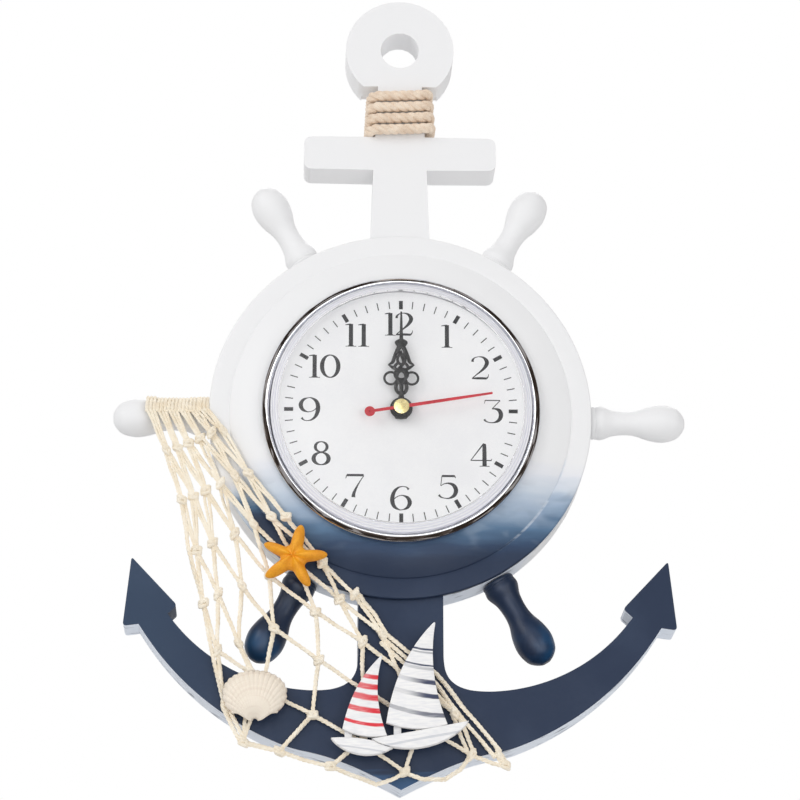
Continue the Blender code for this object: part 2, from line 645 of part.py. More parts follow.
def make_moulding():
    crest = moulding_crest()
    edge = MOULDING_BAND_HEIGHT * BAND_EDGE_SHARE
    groove = MOULDING_STEP_RADIUS + MOULDING_BAND_HEIGHT / 4
    profile = [(MOULDING_BORE_RADIUS, GLUE_GAP)] + crest
    profile += [(groove, MOULDING_BAND_HEIGHT - edge / 2), (groove + edge / 2, MOULDING_BAND_HEIGHT)]
    profile += [(WHEEL_RADIUS - edge, MOULDING_BAND_HEIGHT), (WHEEL_RADIUS, MOULDING_BAND_HEIGHT - edge)]
    profile += [(WHEEL_RADIUS, GLUE_GAP)]
    return turned("wheel_moulding", profile, "paint_white", MOULDING_STEPS, closed=True)


def handle_profile():
    profile = [(0.0, HANDLE_LENGTH)]
    profile += [(HANDLE_RADIUS * wide, HANDLE_LENGTH * along) for along, wide in HANDLE_PROFILE_SHARES]
    collar = HANDLE_RADIUS * HANDLE_PROFILE_SHARES[-1][1]
    profile += [(collar, GLUE_GAP), (DOWEL_RADIUS, GLUE_GAP), (DOWEL_RADIUS, -DOWEL_LENGTH)]
    profile += [(0.0, -DOWEL_LENGTH)]
    return profile


def handle_radius(distance):
    """A handle's radius at a distance from the wheel's rim."""
    points = [(HANDLE_LENGTH * along, HANDLE_RADIUS * wide) for along, wide in HANDLE_PROFILE_SHARES]
    for (far, far_radius), (near, near_radius) in zip(points, points[1:]):
        if distance <= far and distance > near:
            return near_radius + (far_radius - near_radius) * (distance - near) / (far - near)
    return points[-1][1]


def make_handles():
    for name, matrix in handle_places():
        finish = "paint_navy" if "lower" in name else "paint_white"
        handle = turned(name, handle_profile(), finish, HANDLE_STEPS)
        handle.matrix_local = matrix


def rope_top():
    """The height where the winding starts behind the neck, under the eye's shoulder at its side."""
    return EYE_SHOULDER_HEIGHT - ROPE_SIDE_GAP - ROPE_DIAMETER / 2 + ROPE_PITCH / 4


def rope_loop(half_width):
    """One turn round the neck's squared section, from the middle of its back, as (x, z) points."""
    offset = ROPE_DIAMETER / 2 + ROPE_SIDE_GAP
    back = NECK_SEAT_DEPTH - BOARD_THICKNESS
    half = [(0.0, back - offset), (half_width / 2, back - offset)]
    half += arc((half_width, back), offset, math.radians(-90), 0.0, 3)
    half.append((half_width + offset, back / 2))
    half += arc((half_width, 0.0), offset, 0.0, math.radians(90), 3)
    half.append((half_width / 2, offset))
    return half + [(0.0, offset)] + [(-x, z) for x, z in reversed(half[1:])]


def rope_points():
    """The whipping's centre line, which climbs one pitch a turn and widens with the neck."""
    points = []
    neck_height = EYE_SHOULDER_HEIGHT - STOCK_TOP
    for step in range(ROPE_TURNS * ROPE_POINTS + 1):
        height = rope_top() - ROPE_PITCH * step / ROPE_POINTS
        share = min((height - STOCK_TOP) / neck_height, 1.0)
        half_width = NECK_FOOT_HALF_WIDTH + (NECK_TOP_HALF_WIDTH - NECK_FOOT_HALF_WIDTH) * share
        x, z = rope_loop(half_width)[step % ROPE_POINTS]
        points.append((x, height, z))
    return points


def make_rope():
    points = rope_points()
    curve = bpy.data.curves.new("rope_whipping", "CURVE")
    curve.dimensions = "3D"
    curve.bevel_depth = ROPE_DIAMETER / 2
    curve.bevel_resolution = 1
    curve.use_fill_caps = True
    spline = curve.splines.new("POLY")
    spline.points.add(len(points) - 1)
    for point, place in zip(spline.points, points):
        point.co = (*place, 1.0)
    add_piece("rope_whipping", curve, "rope")
    apart = [math.dist(first, second) for number, first in enumerate(points)
             for second in points[number + ROPE_POINTS // 2:]]
    print("rope whipping: least gap between turns %.2f mm" % (1000 * (min(apart) - ROPE_DIAMETER)))


def skin_piece(name, places, links, thick, finish):
    """Round-ended cords along the links of a graph, as one closed body."""
    bm = bmesh.new()
    layer = bm.verts.layers.skin.verify()
    verts = []
    for place, radius in zip(places, thick):
        vert = bm.verts.new(place)
        vert[layer].radius = (radius * NET_SKIN_SHARE, radius * NET_SKIN_SHARE)
        verts.append(vert)
    verts[0][layer].use_root = True
    for first, second in links:
        bm.edges.new((verts[first], verts[second]))
    mesh = bpy.data.meshes.new(name)
    bm.to_mesh(mesh)
    bm.free()
    piece = add_piece(name, mesh, finish)
    skin = piece.modifiers.new("cords", "SKIN")
    skin.branch_smoothing = 0.0
    skin.use_x_symmetry = False
    skin.use_smooth_shade = True
    return piece


def net_height(x, y, radius):
    """The height of a cord's centre where it lies on the moulding, the board or the handle."""
    under = moulding_height(max(math.hypot(x, y) - NET_STEP_MARGIN, MOULDING_BORE_RADIUS))
    return max(NET_PLANE, under + GLUE_GAP + radius)


def net_place(shares):
    """A point of the net, from its shares of the reach and the drop."""
    return NET_REACH * shares[0], NET_DROP * shares[1]


def net_knots():
    return [[net_place(shares) for shares in row] for row in NET_ROW_SHARES]


def widen_edge(bm, width):
    """Adds a strip round the sheet's rim, so the cords along it are as wide as the others."""
    rim = [edge for edge in bm.edges if edge.is_boundary]
    outwards = {}
    for edge in rim:
        face = edge.link_faces[0]
        along = (edge.verts[1].co - edge.verts[0].co).normalized()
        across = along.cross(face.normal)
        middle = (edge.verts[0].co + edge.verts[1].co) / 2
        if across.dot(middle - face.calc_center_median()) < 0:
            across.negate()
        for vert in edge.verts:
            outwards.setdefault(vert.co.copy().freeze(), []).append(across)
    grown = bmesh.ops.extrude_edge_only(bm, edges=rim)["geom"]
    for vert in [item for item in grown if isinstance(item, bmesh.types.BMVert)]:
        first, last = outwards[vert.co.copy().freeze()][0], outwards[vert.co.copy().freeze()][-1]
        share = max(1 + first.dot(last), NET_RIM_SHARE)
        vert.co += (first + last) * (width / share)


def make_net():
    """A sheet with a knot at each crossing, holed between its cords and thicker at its knots."""
    rows = net_knots()
    columns = len(rows[0])
    bm = bmesh.new()
    bmesh.ops.create_grid(bm, x_segments=columns - 1, y_segments=len(rows) - 1, size=0.5)
    bm.verts.ensure_lookup_table()
    knots = [knot for row in reversed(rows) for knot in row]
    for vert, (x, y) in zip(bm.verts, knots):
        vert.co = (x, y, net_height(x, y, NET_KNOT_RADIUS))
    bm.normal_update()
    crossings = list(bm.verts)
    cells = list(bm.faces)
    widen_edge(bm, NET_CORD_RADIUS)
    bmesh.ops.inset_individual(bm, faces=cells, thickness=NET_CORD_RADIUS, use_even_offset=True)
    corners = list({vert for cell in cells for vert in cell.verts})
    bmesh.ops.bevel(bm, geom=corners, affect="VERTICES", offset=NET_KNOT_RADIUS / 2, offset_type="OFFSET",
                    segments=1, profile=0.5, material=-1, clamp_overlap=True)
    most = max(len(face.verts) for face in bm.faces)
    bmesh.ops.delete(bm, geom=[face for face in bm.faces if len(face.verts) == most], context="FACES")
    layer = bm.verts.layers.deform.verify()
    for vert in bm.verts:
        vert[layer][0] = 1.0 if vert in crossings else NET_CORD_RADIUS / NET_KNOT_RADIUS
    mesh = bpy.data.meshes.new("net")
    bm.to_mesh(mesh)
    bm.free()
    net = add_piece("net", mesh, "net_cotton")
    net.vertex_groups.new(name="knots")
    cords = net.modifiers.new("cords", "SOLIDIFY")
    cords.thickness = 2 * NET_KNOT_RADIUS
    cords.offset = 0.0
    cords.vertex_group = "knots"
    cords.thickness_vertex_group = 0.0


def make_net_head():
    """The strands that pass over the left handle, and the cord that ties them behind it."""
    places, thick, links = [], [], []
    last = None
    for x, y in net_knots()[0]:
        radius = handle_radius(-WHEEL_RADIUS - x) + HEAD_CLEARANCE + NET_CORD_RADIUS
        reach = max(radius, HANDLE_RADIUS * HEAD_REACH_SHARE + NET_CORD_RADIUS)
        first = len(places)
        places.append((x, y + HEAD_GAP, NET_PLANE))
        for angle in HEAD_ANGLES:
            places.append((x, reach * math.sin(angle), -HANDLE_DEPTH + reach * math.cos(angle)))
        thick += [NET_CORD_RADIUS] * (1 + len(HEAD_ANGLES))
        links += [(point, point + 1) for point in range(first, len(places) - 1)]
        if last is not None:
            links.append((last, len(places) - 1))
        last = len(places) - 1
    skin_piece("net_head", places, links, thick, "net_cotton")


def starfish_share(angle):
    """How far an angle lies from one arm towards the next, as the arms aren't spread evenly."""
    turns = STARFISH_ARM_ANGLES + (STARFISH_ARM_ANGLES[0] + 2 * math.pi,)
    angle = (angle - turns[0]) % (2 * math.pi) + turns[0]
    for start, end in zip(turns, turns[1:]):
        if angle <= end:
            return (angle - start) / (end - start)
    return 0.0


def make_starfish():
    bm = bmesh.new()
    bmesh.ops.create_uvsphere(bm, u_segments=STARFISH_STEPS, v_segments=STARFISH_RINGS, radius=1.0)
    for vert in bm.verts:
        angle = math.atan2(vert.co.y, vert.co.x)
        arm = (1 + math.cos(2 * math.pi * starfish_share(angle))) / 2
        reach = STARFISH_NOTCH_SHARE + (1 - STARFISH_NOTCH_SHARE) * arm ** STARFISH_ARM_POWER
        out = STARFISH_RADIUS * reach
        vert.co = (vert.co.x * out, vert.co.y * out, max(vert.co.z, -STARFISH_BACK_SHARE) * STARFISH_HEIGHT)
    x, y = net_place(STARFISH_PLACE_SHARES)
    under = moulding_height(math.hypot(x, y) - STARFISH_RADIUS)
    place = (x, y, under + 2 * NET_KNOT_RADIUS + STARFISH_SEAT_GAP)
    starfish = add_piece("starfish", mesh_from(bm, "starfish", math.radians(50)), "starfish", place)
    starfish.rotation_euler = (0.0, STARFISH_TILT, 0.0)


def make_shell():
    """A ribbed fan: a grid bent round the hinge, domed, and given its wall."""
    bm = bmesh.new()
    across = 2 * SHELL_RIBS
    bmesh.ops.create_grid(bm, x_segments=across, y_segments=SHELL_RINGS, size=0.5)
    for vert in bm.verts:
        side, out = 2 * vert.co.x, vert.co.y + 0.5
        angle = side * SHELL_SPREAD + SHELL_TURN
        rib = math.cos(math.pi * across * (side + 1) / 2)
        scallop = SHELL_RIB_HEIGHT * rib * out
        rim = SHELL_RADIUS * (1 - SHELL_WAIST_SHARE * side ** 4) + scallop
        radius = SHELL_HINGE_RADIUS + (rim - SHELL_HINGE_RADIUS) * out
        roundness = math.sqrt(1 - SHELL_ROUND_SHARE * (2 * out - 1) ** 2)
        dome = SHELL_DOME * roundness * (1 - SHELL_SIDE_DROP_SHARE * side * side)
        vert.co = (radius * math.sin(angle), radius * math.cos(angle), dome + scallop)
    shell = add_piece("scallop_shell", mesh_from(bm, "scallop_shell"), "shell",
                      (*net_place(SHELL_PLACE_SHARES), SHELL_LIFT + SHELL_WALL))
    wall = shell.modifiers.new("wall", "SOLIDIFY")
    wall.thickness = SHELL_WALL
    wall.offset = -1.0


def sail_outline(size, lean):
    """A sail from its foot's left end: the curved luff, the tip, the hollow leech and the round foot."""
    width, height = size
    tip = (lean, height)
    foot_end = (width, -width * SAIL_FOOT_SHARE)
    luff_pull = (lean / 2 - width * SAIL_LUFF_SHARE, height * (1 + SAIL_LUFF_SHARE) / 2)
    leech_pull = (lean - width * SAIL_LEECH_SHARE, height / 2)
    outline = bend((0.0, 0.0), luff_pull, tip, OUTLINE_STEPS)[:-1]
    outline += bend(tip, leech_pull, foot_end, OUTLINE_STEPS)[:-1]
    foot_pull = (width / 2, -width * 3 * SAIL_FOOT_SHARE)
    outline += bend(foot_end, foot_pull, (0.0, 0.0), OUTLINE_STEPS // 2)[:-1]
    return outline


def hull_outline(length, depth, margin):
    """A hull from its left end, sharp at both ends, with a slack sheer above and a full belly."""
    outline = []
    for step in range(OUTLINE_STEPS + 1):
        share = step / OUTLINE_STEPS
        sag = 4 * share * (1 - share)
        outline.append((length * share, -depth * HULL_SHEER_SHARE * sag + margin))
    for step in range(OUTLINE_STEPS - 1, 0, -1):
        share = step / OUTLINE_STEPS
        sag = 4 * share * (1 - share)
        outline.append((length * share, -depth * sag ** HULL_BELLY_POWER - margin))
    return outline


def boat_place(start):
    """A point of the boats, from its start beside the point of the net that carries them."""
    x, y = net_place(BOATS_PLACE_SHARES)
    return x + start[0], y + start[1]


def make_boats():
    level = BOAT_BACK + BOAT_MAST_THICKNESS + BOAT_SEAT_GAP
    for name, foot, size, lean, turn in (
            ("small_sail", SMALL_SAIL_FOOT, SMALL_SAIL_SIZE, SMALL_SAIL_LEAN, SMALL_SAIL_TURN),
            ("large_sail", LARGE_SAIL_FOOT, LARGE_SAIL_SIZE, LARGE_SAIL_LEAN, LARGE_SAIL_TURN)):
        flat_piece(name, [sail_outline(size, lean)], BOAT_SAIL_THICKNESS, level, "boat_wood",
                   boat_place(foot), turn)
    small = flat_piece("small_hull", [hull_outline(SMALL_HULL_LENGTH, SMALL_HULL_DEPTH, 0.0)],
                       BOAT_HULL_THICKNESS, level, "boat_wood", boat_place(SMALL_HULL_END),
                       SMALL_HULL_TURN)
    flat_piece("large_hull", [hull_outline(LARGE_HULL_LENGTH, LARGE_HULL_DEPTH, 0.0)],
               BOAT_HULL_THICKNESS, level, "boat_wood", boat_place(LARGE_HULL_END), LARGE_HULL_TURN)
    room = flat_piece("large_hull_room", [hull_outline(LARGE_HULL_LENGTH, LARGE_HULL_DEPTH, BOAT_SEAT_GAP)],
                      BOAT_HULL_THICKNESS + 2 * CUT_OVERRUN, level - CUT_OVERRUN, "boat_wood",
                      boat_place(LARGE_HULL_END), LARGE_HULL_TURN)
    combine(small, room, "DIFFERENCE")
    for name, foot, height in (("small_mast", SMALL_MAST_FOOT, SMALL_MAST_HEIGHT),
                               ("large_mast", LARGE_MAST_FOOT, LARGE_MAST_HEIGHT)):
        size = (BOAT_MAST_WIDTH, height, BOAT_MAST_THICKNESS)
        x, y = boat_place(foot)
        centre = (x, y + height / 2, BOAT_BACK + BOAT_MAST_THICKNESS / 2)
        box_piece(name, size, centre, "boat_wood")


def make_housing():
    """A cup open to the back, with a flange on the board and a floor that seats the dial."""
    inner_rim = INSERT_RADIUS - HOUSING_RIM_WALL
    inner_body = HOUSING_BODY_RADIUS - HOUSING_BODY_WALL
    floor_back = FLOOR_TOP - FLOOR_THICKNESS
    hole = BUSH_RADIUS + ARBOR_GAP
    profile = [(hole, FLOOR_TOP), (inner_rim, FLOOR_TOP), (inner_rim, HOUSING_RIM_HEIGHT),
               (INSERT_RADIUS, HOUSING_RIM_HEIGHT), (INSERT_RADIUS, GLUE_GAP),
               (HOUSING_BODY_RADIUS, GLUE_GAP), (HOUSING_BODY_RADIUS, -HOUSING_BODY_DEPTH),
               (inner_body, -HOUSING_BODY_DEPTH), (inner_body, floor_back),
               (hole, floor_back)]
    turned("insert_housing", profile, "white_plastic", HIDDEN_STEPS, closed=True)
    inner = HOUSING_BODY_RADIUS + GLUE_GAP
    outer = inner + GASKET_WALL
    foot = -GASKET_TOP - GASKET_WIDTH
    crown = outer - GASKET_WALL / 3
    profile = [(inner, -GASKET_TOP), (crown, -GASKET_TOP), (outer, -GASKET_TOP - GASKET_WIDTH / 3),
               (outer, foot + GASKET_WIDTH / 3), (crown, foot), (inner, foot)]
    turned("insert_gasket", profile, "rubber", HIDDEN_STEPS, closed=True)


def make_dial():
    back = FLOOR_TOP + GLUE_GAP
    top = back + DIAL_THICKNESS
    hole = BUSH_RADIUS + ARBOR_GAP
    profile = [(hole, top), (DIAL_RADIUS, top), (DIAL_RADIUS, back), (hole, back)]
    turned("dial", profile, "dial", INSERT_STEPS, closed=True)


def make_lens():
    foot = HOUSING_RIM_HEIGHT + GLUE_GAP
    under = LENS_TOP - LENS_THICKNESS
    inside = INSERT_RADIUS - LENS_SKIRT_WALL
    profile = [(0.0, LENS_TOP), (LENS_FLAT_RADIUS, LENS_TOP), (INSERT_RADIUS, LENS_SHOULDER_HEIGHT),
               (INSERT_RADIUS, foot), (inside, foot), (inside, LENS_SHOULDER_HEIGHT - LENS_SKIRT_WALL / 2),
               (LENS_FLAT_RADIUS - LENS_SKIRT_WALL / 2, under), (0.0, under)]
    turned("lens", profile, "lens", INSERT_STEPS)


def make_bezel():
    bore = INSERT_RADIUS + BEZEL_BORE_GAP
    foot = MOULDING_CREST_HEIGHT + GLUE_GAP
    side = foot + BEZEL_SIDE_HEIGHT
    crest = foot + BEZEL_CREST_HEIGHT
    width = BEZEL_RADIUS - bore
    profile = [(bore, side), (bore + width / 6, crest - (crest - side) / 3), (bore + width / 2, crest),
               (BEZEL_RADIUS - width / 6, crest - (crest - side) / 3), (BEZEL_RADIUS, side),
               (BEZEL_RADIUS, foot), (bore, foot)]
    turned("bezel", profile, "chrome", INSERT_STEPS, closed=True)


def hand_outline(length, hub_radius, shares):
    """A hand's outline: the hub, then the filigree's half widths up one side and down the other."""
    first_y = length * shares[0][0]
    first_x = hub_radius * shares[0][1]
    meet = math.atan2(first_y, first_x)
    hub = arc((0.0, 0.0), hub_radius, math.radians(-90), meet, SMALL_ARC_STEPS)
    edge = [(hub_radius * wide, length * along) for along, wide in shares]
    half = hub + edge
    return half + [(0.0, length)] + [(-x, y) for x, y in reversed(half[1:])]


def hand_holes(length, hub_radius, shares):
    return [circle(hub_radius * radius, HAND_HOLE_STEPS, (hub_radius * across, length * along))
            for along, across, radius in shares]


def make_hands():
    """The hour and minute hands with their own bores, then the second hand and its cap."""
    for name, length, hub, shares, holes, level, bore in (
            ("hour_hand", HOUR_HAND_LENGTH, HOUR_HUB_RADIUS, HOUR_HAND_SHARES, HOUR_HAND_HOLE_SHARES,
             HOUR_HAND_HEIGHT, HOUR_TUBE_RADIUS),
            ("minute_hand", MINUTE_HAND_LENGTH, MINUTE_HUB_RADIUS, MINUTE_HAND_SHARES,
             MINUTE_HAND_HOLE_SHARES, MINUTE_HAND_HEIGHT, MINUTE_ARBOR_RADIUS)):
        outlines = [hand_outline(length, hub, shares), circle(bore + ARBOR_GAP / 2, HAND_HOLE_STEPS)]
        flat_piece(name, outlines + hand_holes(length, hub, holes), HAND_THICKNESS, level, "hand_black")
    width = SECOND_HAND_WIDTH / 2
    hub = arc((0.0, 0.0), SECOND_HAND_HUB_RADIUS, math.radians(-80), math.radians(80), SMALL_ARC_STEPS)
    weight = arc((0.0, -COUNTERWEIGHT_REACH), COUNTERWEIGHT_RADIUS, math.radians(-90), math.radians(78),
                 SMALL_ARC_STEPS)
    half = weight + hub + [(width / 2, SECOND_HAND_LENGTH)]
    outline = half + [(-x, y) for x, y in reversed(half[1:])]
    bore = circle(SECONDS_ARBOR_RADIUS + ARBOR_GAP / 2, HAND_HOLE_STEPS)
    flat_piece("second_hand", [outline, bore], HAND_THICKNESS / 2, SECOND_HAND_HEIGHT, "hand_red",
               turn=SECOND_HAND_ANGLE)
    cap_foot = SECOND_HAND_HEIGHT + HAND_THICKNESS / 2 + ARBOR_GAP / 2
    top = cap_foot + CAP_HEIGHT
    profile = [(0.0, top), (CAP_RADIUS / 2, top - CAP_HEIGHT / 8), (CAP_RADIUS, top - CAP_HEIGHT / 2),
               (CAP_RADIUS, cap_foot), (0.0, cap_foot)]
    turned("hand_cap", profile, "brass", 2 * HAND_HOLE_STEPS)


def make_nut():
    foot = FLOOR_TOP + GLUE_GAP + DIAL_THICKNESS + GLUE_GAP
    outlines = [circle(NUT_RADIUS, NUT_SIDES), circle(BUSH_RADIUS + ARBOR_GAP, 2 * HAND_HOLE_STEPS)]
    flat_piece("centre_nut", outlines, BUSH_TOP - foot, foot, "brass")


def case_levels():
    """The inner faces of the movement: the front wall's back, and the back cover's front."""
    front = CASE_TOP - CASE_WALL
    back = CASE_TOP - CASE_DEPTH + COVER_THICKNESS
    return front, back


def battery_centre():
    return -CASE_HALF_WIDTH + CASE_WALL + BATTERY_GAP + BATTERY_RADIUS


def partition_foot():
    return battery_centre() + BATTERY_RADIUS + BATTERY_GAP


def train_places():
    """Each arbor's place in the face frame."""
    def step(start, distance, angle):
        return (start[0] + distance * math.cos(angle), start[1] + distance * math.sin(angle))
    third = step((0.0, 0.0), TRAIN_DISTANCE, THIRD_ANGLE)
    intermediate = step((0.0, 0.0), TRAIN_DISTANCE, INTERMEDIATE_ANGLE)
    rotor = step(intermediate, ROTOR_DISTANCE, ROTOR_ANGLE)
    minute = step((0.0, 0.0), MOTION_DISTANCE, MOTION_ANGLE)
    setting = step(minute, MOTION_DISTANCE, MOTION_ANGLE)
    return {"third": third, "intermediate": intermediate, "rotor": rotor, "minute": minute,
            "setting": setting}


def make_case():
    """The moulded case: one block hollowed into the wheel room and the battery's bay."""
    front = case_levels()[0]
    middle = CASE_TOP - CASE_DEPTH / 2
    case = box_piece("movement_case", (2 * CASE_HALF_WIDTH, 2 * CASE_HALF_WIDTH, CASE_DEPTH),
                     (0.0, 0.0, middle), "black_plastic")
    inside = CASE_HALF_WIDTH - CASE_WALL
    room_foot = partition_foot() + CASE_PARTITION
    reach = CASE_DEPTH - CASE_WALL + CUT_OVERRUN
    level = front - reach / 2
    room = box_piece("wheel_room", (2 * inside, inside - room_foot, reach),
                     (0.0, (inside + room_foot) / 2, level), "black_plastic")
    combine(case, room, "DIFFERENCE")
    bay = box_piece("battery_bay", (2 * inside, partition_foot() + inside, reach),
                    (0.0, (partition_foot() - inside) / 2, level), "black_plastic")
    combine(case, bay, "DIFFERENCE")
    bush = rod_piece("bush", BUSH_RADIUS, CASE_TOP - CASE_WALL / 2, BUSH_TOP, "black_plastic",
                     steps=2 * ARBOR_STEPS)
    combine(case, bush, "UNION")
    bore = rod_piece("bush_bore", HOUR_TUBE_RADIUS + ARBOR_GAP, front - CUT_OVERRUN,
                     BUSH_TOP + CUT_OVERRUN, "black_plastic", steps=2 * ARBOR_STEPS)
    combine(case, bore, "DIFFERENCE")
    bm = bmesh.new()
    for name, (x, y) in train_places().items():
        matrix = Matrix.Translation((x, y, front))
        bmesh.ops.create_cone(bm, cap_ends=True, segments=ARBOR_STEPS, radius1=PIVOT_RADIUS + BEARING_GAP,
                              radius2=PIVOT_RADIUS + BEARING_GAP, depth=2 * BEARING_DEPTH, matrix=matrix)
    combine(case, add_piece("front_bearings", mesh_from(bm, "front_bearings"), "black_plastic"),
            "DIFFERENCE")


def make_cover():
    """The back cover of the wheel room, with blind bearings and the setting stem's hole."""
    back = case_levels()[1]
    inside = CASE_HALF_WIDTH - CASE_WALL - COVER_GAP
    foot = partition_foot() + CASE_PARTITION + COVER_GAP
    cover = box_piece("movement_cover", (2 * inside, inside - foot, COVER_THICKNESS),
                      (0.0, (inside + foot) / 2, back - COVER_THICKNESS / 2), "black_plastic")
    places = train_places()
    x, y = places.pop("setting")
    stem = rod_piece("stem_hole", KNOB_STEM_RADIUS + ARBOR_GAP, back - COVER_THICKNESS - CUT_OVERRUN,
                     back + CUT_OVERRUN, "black_plastic", (x, y))
    combine(cover, stem, "DIFFERENCE")
    places["centre"] = (0.0, 0.0)
    places.pop("minute")
    bm = bmesh.new()
    for name, (x, y) in places.items():
        matrix = Matrix.Translation((x, y, back))
        bmesh.ops.create_cone(bm, cap_ends=True, segments=ARBOR_STEPS, radius1=PIVOT_RADIUS + BEARING_GAP,
                              radius2=PIVOT_RADIUS + BEARING_GAP, depth=COVER_THICKNESS, matrix=matrix)
    combine(cover, add_piece("back_bearings", mesh_from(bm, "back_bearings"), "black_plastic"),
            "DIFFERENCE")


def gear_outline(teeth, module, turn=0.0):
    """Teeth about the pitch circle: blunt on a pinion, and pointed on a wheel of many teeth."""
    pitch = teeth * module / 2
    root = pitch - TOOTH_ROOT_SHARE * module
    tip = pitch + TOOTH_TIP_SHARE * module
    tooth = 2 * math.pi / teeth
    foot, land = TOOTH_FOOT_SHARE / 2, TOOTH_LAND_SHARE / 2
    corners = ((root, -foot), (tip, -land), (tip, land), (root, foot))
    if teeth > MOST_BLUNT_TEETH:
        corners = ((root, -1 / 2), (tip, 0.0))
    points = []
    for number in range(teeth):
        for radius, share in corners:
            angle = turn + tooth * (number + share)
            points.append((radius * math.cos(angle), radius * math.sin(angle)))
    return points


def wheel_piece(name, level, teeth, module, turn, place, bore=0.0):
    outlines = [gear_outline(teeth, module, turn)]
    if bore:
        outlines.append(circle(bore, ARBOR_STEPS))
    return flat_piece(name, outlines, WHEEL_THICKNESS, level - WHEEL_THICKNESS / 2, "brass", place)


def pinion_tool(name, level, teeth, module, turn, place):
    return flat_piece(name, [gear_outline(teeth, module, turn)], PINION_THICKNESS,
                      level - PINION_THICKNESS / 2, "steel", place)


def modules():
    """Each mesh's module, from its teeth and the distance between its arbors."""
    return {
        "rotor": 2 * ROTOR_DISTANCE / (PINION_TEETH + ROTOR_WHEEL_TEETH),
        "seconds": 2 * TRAIN_DISTANCE / (INTERMEDIATE_PINION_TEETH + SECONDS_WHEEL_TEETH),
        "third": 2 * TRAIN_DISTANCE / (PINION_TEETH + THIRD_WHEEL_TEETH),
        "centre": 2 * TRAIN_DISTANCE / (PINION_TEETH + CENTRE_WHEEL_TEETH),
        "minute": 2 * MOTION_DISTANCE / (CANNON_TEETH + MINUTE_WHEEL_TEETH),
        "hour": 2 * MOTION_DISTANCE / (PINION_TEETH + HOUR_WHEEL_TEETH),
    }


def meshing_turn(teeth, direction, driver_teeth, driver_turn=0.0):
    """The turn that puts a gap of this gear where a tooth of its driver points at it."""
    driver_phase = (direction - driver_turn) * driver_teeth / (2 * math.pi)
    own = direction + math.pi
    return own - (0.5 - driver_phase) * 2 * math.pi / teeth


def make_train():
    """The going train, from the rotor to the centre wheel."""
    front, back = case_levels()
    places, size = train_places(), modules()
    pivot_front = front + BEARING_DEPTH - BEARING_GAP
    pivot_back = back - COVER_THICKNESS / 2 + BEARING_GAP
    arbor_top = SECOND_HAND_HEIGHT + HAND_THICKNESS / 2
    centre_turn = meshing_turn(CENTRE_WHEEL_TEETH, THIRD_ANGLE + math.pi, PINION_TEETH)
    seconds_pinion = pinion_tool("seconds_pinion", THIRD_WHEEL_LEVEL, PINION_TEETH, size["third"], 0.0,
                                 (0.0, 0.0))
    seconds = wheel_piece("seconds_wheel", SECONDS_WHEEL_LEVEL, SECONDS_WHEEL_TEETH, size["seconds"],
                          0.0, (0.0, 0.0))
    combine(seconds, rod_piece("seconds_arbor", SECONDS_ARBOR_RADIUS, pivot_back, arbor_top, "steel"),
            "UNION")
    combine(seconds, seconds_pinion, "UNION")
    third_turn = meshing_turn(THIRD_WHEEL_TEETH, THIRD_ANGLE, PINION_TEETH)
    third = wheel_piece("third_wheel", THIRD_WHEEL_LEVEL, THIRD_WHEEL_TEETH, size["third"], third_turn,
                        places["third"])
    combine(third, rod_piece("third_arbor", PIVOT_RADIUS, pivot_back, pivot_front, "steel",
                             places["third"]), "UNION")
    combine(third, pinion_tool("third_pinion", CENTRE_WHEEL_LEVEL, PINION_TEETH, size["centre"], 0.0,
                               places["third"]), "UNION")
    wheel_piece("centre_wheel", CENTRE_WHEEL_LEVEL, CENTRE_WHEEL_TEETH, size["centre"], centre_turn,
                (0.0, 0.0), MINUTE_ARBOR_RADIUS + ARBOR_GAP / 2)
    pinion_turn = meshing_turn(INTERMEDIATE_PINION_TEETH, INTERMEDIATE_ANGLE, SECONDS_WHEEL_TEETH)
    wheel_turn = 0.0
    intermediate = wheel_piece("intermediate_wheel", INTERMEDIATE_WHEEL_LEVEL, ROTOR_WHEEL_TEETH,
                               size["rotor"], wheel_turn, places["intermediate"])
    combine(intermediate, rod_piece("intermediate_arbor", PIVOT_RADIUS, pivot_back, pivot_front, "steel",
                                    places["intermediate"]), "UNION")
    combine(intermediate, pinion_tool("intermediate_pinion", SECONDS_WHEEL_LEVEL,
                                      INTERMEDIATE_PINION_TEETH, size["seconds"], pinion_turn,
                                      places["intermediate"]), "UNION")
    rotor_turn = meshing_turn(PINION_TEETH, ROTOR_ANGLE, ROTOR_WHEEL_TEETH, wheel_turn)
    magnet_foot = INTERMEDIATE_WHEEL_LEVEL + PINION_THICKNESS / 2
    rotor = rod_piece("rotor", ROTOR_MAGNET_RADIUS, magnet_foot, magnet_foot + ROTOR_MAGNET_LENGTH,
                      "steel", places["rotor"], 2 * ARBOR_STEPS)
    combine(rotor, rod_piece("rotor_arbor", PIVOT_RADIUS, pivot_back, pivot_front, "steel",
                             places["rotor"]), "UNION")
    combine(rotor, pinion_tool("rotor_pinion", INTERMEDIATE_WHEEL_LEVEL + WHEEL_THICKNESS / 4,
                               PINION_TEETH, size["rotor"], rotor_turn, places["rotor"]), "UNION")


def tube_piece(name, outer, inner, bottom, top, finish):
    return flat_piece(name, [circle(outer, ARBOR_STEPS), circle(inner, ARBOR_STEPS)], top - bottom,
                      bottom, finish)


